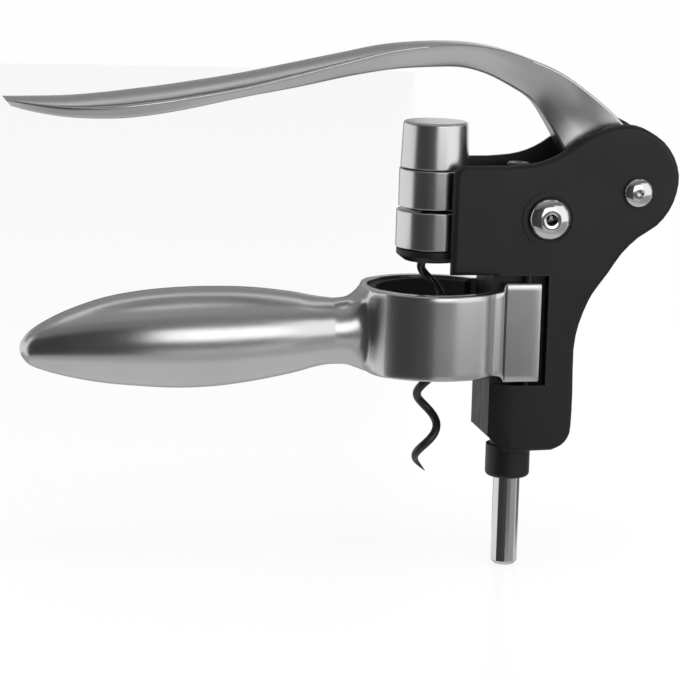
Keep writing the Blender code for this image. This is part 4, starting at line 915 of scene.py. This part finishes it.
# %% [markdown]
# ## Camera
#
# The picture was taken from a little above and a little towards the handles, from most of a metre away. The
# camera looks at the point that fills the middle of the picture, and is rolled slightly, because the
# object's uprights lean a little in it.

# %% The camera
VIEW_AZIMUTH, VIEW_ELEVATION, ROLL = math.radians(12.7), math.radians(10.1), math.radians(1.9)
DISTANCE = 0.880
METRES_PER_PIXEL = 0.0002938
PICTURE = 680
ORIGIN_PIXEL = (429.4, 326.5)
SENSOR = 36.0
sight = Vector((math.sin(VIEW_AZIMUTH) * math.cos(VIEW_ELEVATION),
                math.cos(VIEW_AZIMUTH) * math.cos(VIEW_ELEVATION), -math.sin(VIEW_ELEVATION)))
level = Vector((math.cos(VIEW_AZIMUTH), -math.sin(VIEW_AZIMUTH), 0))
rise = level.cross(sight)
right = level * math.cos(ROLL) + rise * math.sin(ROLL)
up = rise * math.cos(ROLL) - level * math.sin(ROLL)
off_x = (PICTURE / 2 - ORIGIN_PIXEL[0]) * METRES_PER_PIXEL
off_y = (ORIGIN_PIXEL[1] - PICTURE / 2) * METRES_PER_PIXEL
aim = right * off_x + up * off_y
bpy.ops.object.select_all(action="DESELECT")
bpy.ops.object.camera_add()
camera = bpy.context.object
camera.data.sensor_width = SENSOR
camera.data.lens = DISTANCE / METRES_PER_PIXEL * SENSOR / PICTURE
place = -sight * DISTANCE
forward = (aim - place).normalized()
side_way = forward.cross(up).normalized()
camera.matrix_world = Matrix((side_way, side_way.cross(forward), -forward)).transposed().to_4x4()
camera.location = place
camera.data.clip_start, camera.data.clip_end = 0.01, 20
bpy.context.scene.camera = camera
print("camera at", [round(v, 3) for v in place], "lens", round(camera.data.lens, 1))


# %% [markdown]
# ## Studio
#
# Bright metal shows the room more than itself. The room is white, and curved panels that only reflections
# can see shape the metal, as black and white cards do round a product: dark in front, bright strips towards
# the right, grey overhead. Each panel is a patch of a sphere round the object, given by its angles from the
# camera's direction.

# %% Panels
def glow(name, strength):
    material = bpy.data.materials.new(name)
    material.use_nodes = True
    tree = material.node_tree
    tree.nodes.clear()
    light = add(tree, "ShaderNodeEmission", Strength=strength)
    output = add(tree, "ShaderNodeOutputMaterial")
    tree.links.new(light.outputs["Emission"], output.inputs["Surface"])
    return material


MIDDLE = Vector((-0.02, 0, 0.0))


def around(azimuth, elevation, distance):
    """A place round the object. Azimuth 0 is towards the camera and grows to its right, as it sees it."""
    turn, tilt = math.radians(azimuth) - VIEW_AZIMUTH, math.radians(elevation)
    return MIDDLE + distance * Vector((math.sin(turn) * math.cos(tilt), -math.cos(turn) * math.cos(tilt),
                                       math.sin(tilt)))


def panel(name, from_azimuth, to_azimuth, from_elevation, to_elevation, strength, radius=1.6):
    """A glowing patch of a sphere that only reflections can see."""
    bpy.ops.object.select_all(action="DESELECT")
    bpy.ops.mesh.primitive_grid_add(x_subdivisions=24, y_subdivisions=12, size=1)
    obj = bpy.context.object
    for vert in obj.data.vertices:
        azimuth = from_azimuth + (to_azimuth - from_azimuth) * (vert.co.x + 0.5)
        elevation = from_elevation + (to_elevation - from_elevation) * (vert.co.y + 0.5)
        vert.co = around(azimuth, elevation, radius)
    obj.name = name
    obj.data.materials.append(glow(name, strength))
    obj.visible_camera = False
    obj.visible_diffuse = False
    obj.visible_transmission = False
    obj.visible_shadow = False


# Name, azimuth from and to, elevation from and to, strength, and the radius where it differs
PANELS = (
    ("card_front_left", -72, -20, -30, 34, 0.055), ("card_front_middle", -20, 8, -30, 34, 0.07),
    ("card_front", 8, 42, -17, 0, 0.16),
    ("card_front_low", 8, 42, -30, -17, 0.60), ("strip_handle", 8, 42, 0, 25, 2.0),
    ("card_front_high", 8, 42, 25, 34, 0.20), ("strip_right", 42, 84, -6, 34, 1.3, 0.5),
    ("card_right_low", 42, 90, -30, -6, 0.40, 0.5), ("card_over", -90, 90, 34, 52, 0.22),
    ("card_over_high", -90, 90, 52, 78, 0.36), ("card_top", -180, 180, 86, 90, 0.25),
    ("card_under", -180, 180, -89, -46, 0.68), ("card_under_front", -90, 90, -46, -30, 0.50),
    ("card_under_back", 90, 270, -46, -18, 0.47), ("card_back_right", 97, 140, -16, 14, 0.10),
    ("card_back_left", 180, 208, -16, 14, 0.25), ("card_back_high", 90, 270, 16, 54, 0.32),
    ("card_back_top", 90, 270, 64, 86, 0.10),
)
for row in PANELS:
    panel(*row)
print("panels", len(PANELS))


# %% [markdown]
# The room is one even white. Two large soft lamps give the black plastic its gentle gradients and the foot
# its shadow. Reflections can't see them, so the panels alone shape the metal.

# %% World and lamps
world = bpy.data.worlds.new("studio")
bpy.context.scene.world = world
world.use_nodes = True
background = world.node_tree.nodes["Background"]
background.inputs["Color"].default_value = (1, 1, 1, 1)
background.inputs["Strength"].default_value = 1.0


def lamp(name, azimuth, elevation, distance, size, power):
    bpy.ops.object.select_all(action="DESELECT")
    bpy.ops.object.light_add(type="AREA")
    obj = bpy.context.object
    obj.name = name
    obj.data.size = size
    obj.data.energy = power
    obj.location = around(azimuth, elevation, distance)
    obj.rotation_euler = (obj.location - MIDDLE).to_track_quat("Z", "Y").to_euler()
    obj.visible_camera = False
    obj.visible_glossy = False


lamp("lamp_over", azimuth=20, elevation=66, distance=0.9, size=0.5, power=3.2)
lamp("lamp_left", azimuth=-75, elevation=35, distance=1.0, size=0.5, power=1.6)
print("lamps ready")


# %% [markdown]
# The floor is pale and a little glossy, so that it takes the foot's shadow and reflection. What is seen
# directly is mostly a plain white glow, which lets the floor run into the white room.

# %% The floor
FLOOR_Z = ROD_LOW - 0.0001
FLOOR_COLOUR = (0.88, 0.88, 0.88, 1)
FLOOR_ROUGHNESS = 0.22
FLOOR_GLOW_SHARE = 0.82


def seen_directly(tree):
    """One where a ray comes from the camera, a reflection or through glass, and zero elsewhere."""
    path = add(tree, "ShaderNodeLightPath")
    first = add(tree, "ShaderNodeMath", operation="MAXIMUM")
    second = add(tree, "ShaderNodeMath", operation="MAXIMUM")
    tree.links.new(path.outputs["Is Camera Ray"], first.inputs[0])
    tree.links.new(path.outputs["Is Glossy Ray"], first.inputs[1])
    tree.links.new(first.outputs["Value"], second.inputs[0])
    tree.links.new(path.outputs["Is Transmission Ray"], second.inputs[1])
    return second.outputs["Value"]


bpy.ops.object.select_all(action="DESELECT")
bpy.ops.mesh.primitive_plane_add(size=12, location=(0, 0, FLOOR_Z))
floor = settle(bpy.context.object)
floor.name = "floor"
pale = bpy.data.materials.new("pale_floor")
pale.use_nodes = True
tree = pale.node_tree
shader = tree.nodes["Principled BSDF"]
shader.inputs["Base Color"].default_value = FLOOR_COLOUR
shader.inputs["Roughness"].default_value = FLOOR_ROUGHNESS
white = add(tree, "ShaderNodeEmission", Strength=1.0)
mixed = add(tree, "ShaderNodeMixShader")
share = add(tree, "ShaderNodeMath", operation="MULTIPLY")
share.inputs[1].default_value = FLOOR_GLOW_SHARE
tree.links.new(seen_directly(tree), share.inputs[0])
tree.links.new(share.outputs["Value"], mixed.inputs["Fac"])
tree.links.new(shader.outputs["BSDF"], mixed.inputs[1])
tree.links.new(white.outputs["Emission"], mixed.inputs[2])
tree.links.new(mixed.outputs["Shader"], tree.nodes["Material Output"].inputs["Surface"])
floor.data.materials.append(pale)
floor.visible_glossy = False
print("floor at", round(FLOOR_Z, 4))

# %% [markdown]
# ## Finish
#
# The picture is shown with the Standard view.

# %% The view
bpy.context.scene.view_settings.view_transform = "Standard"
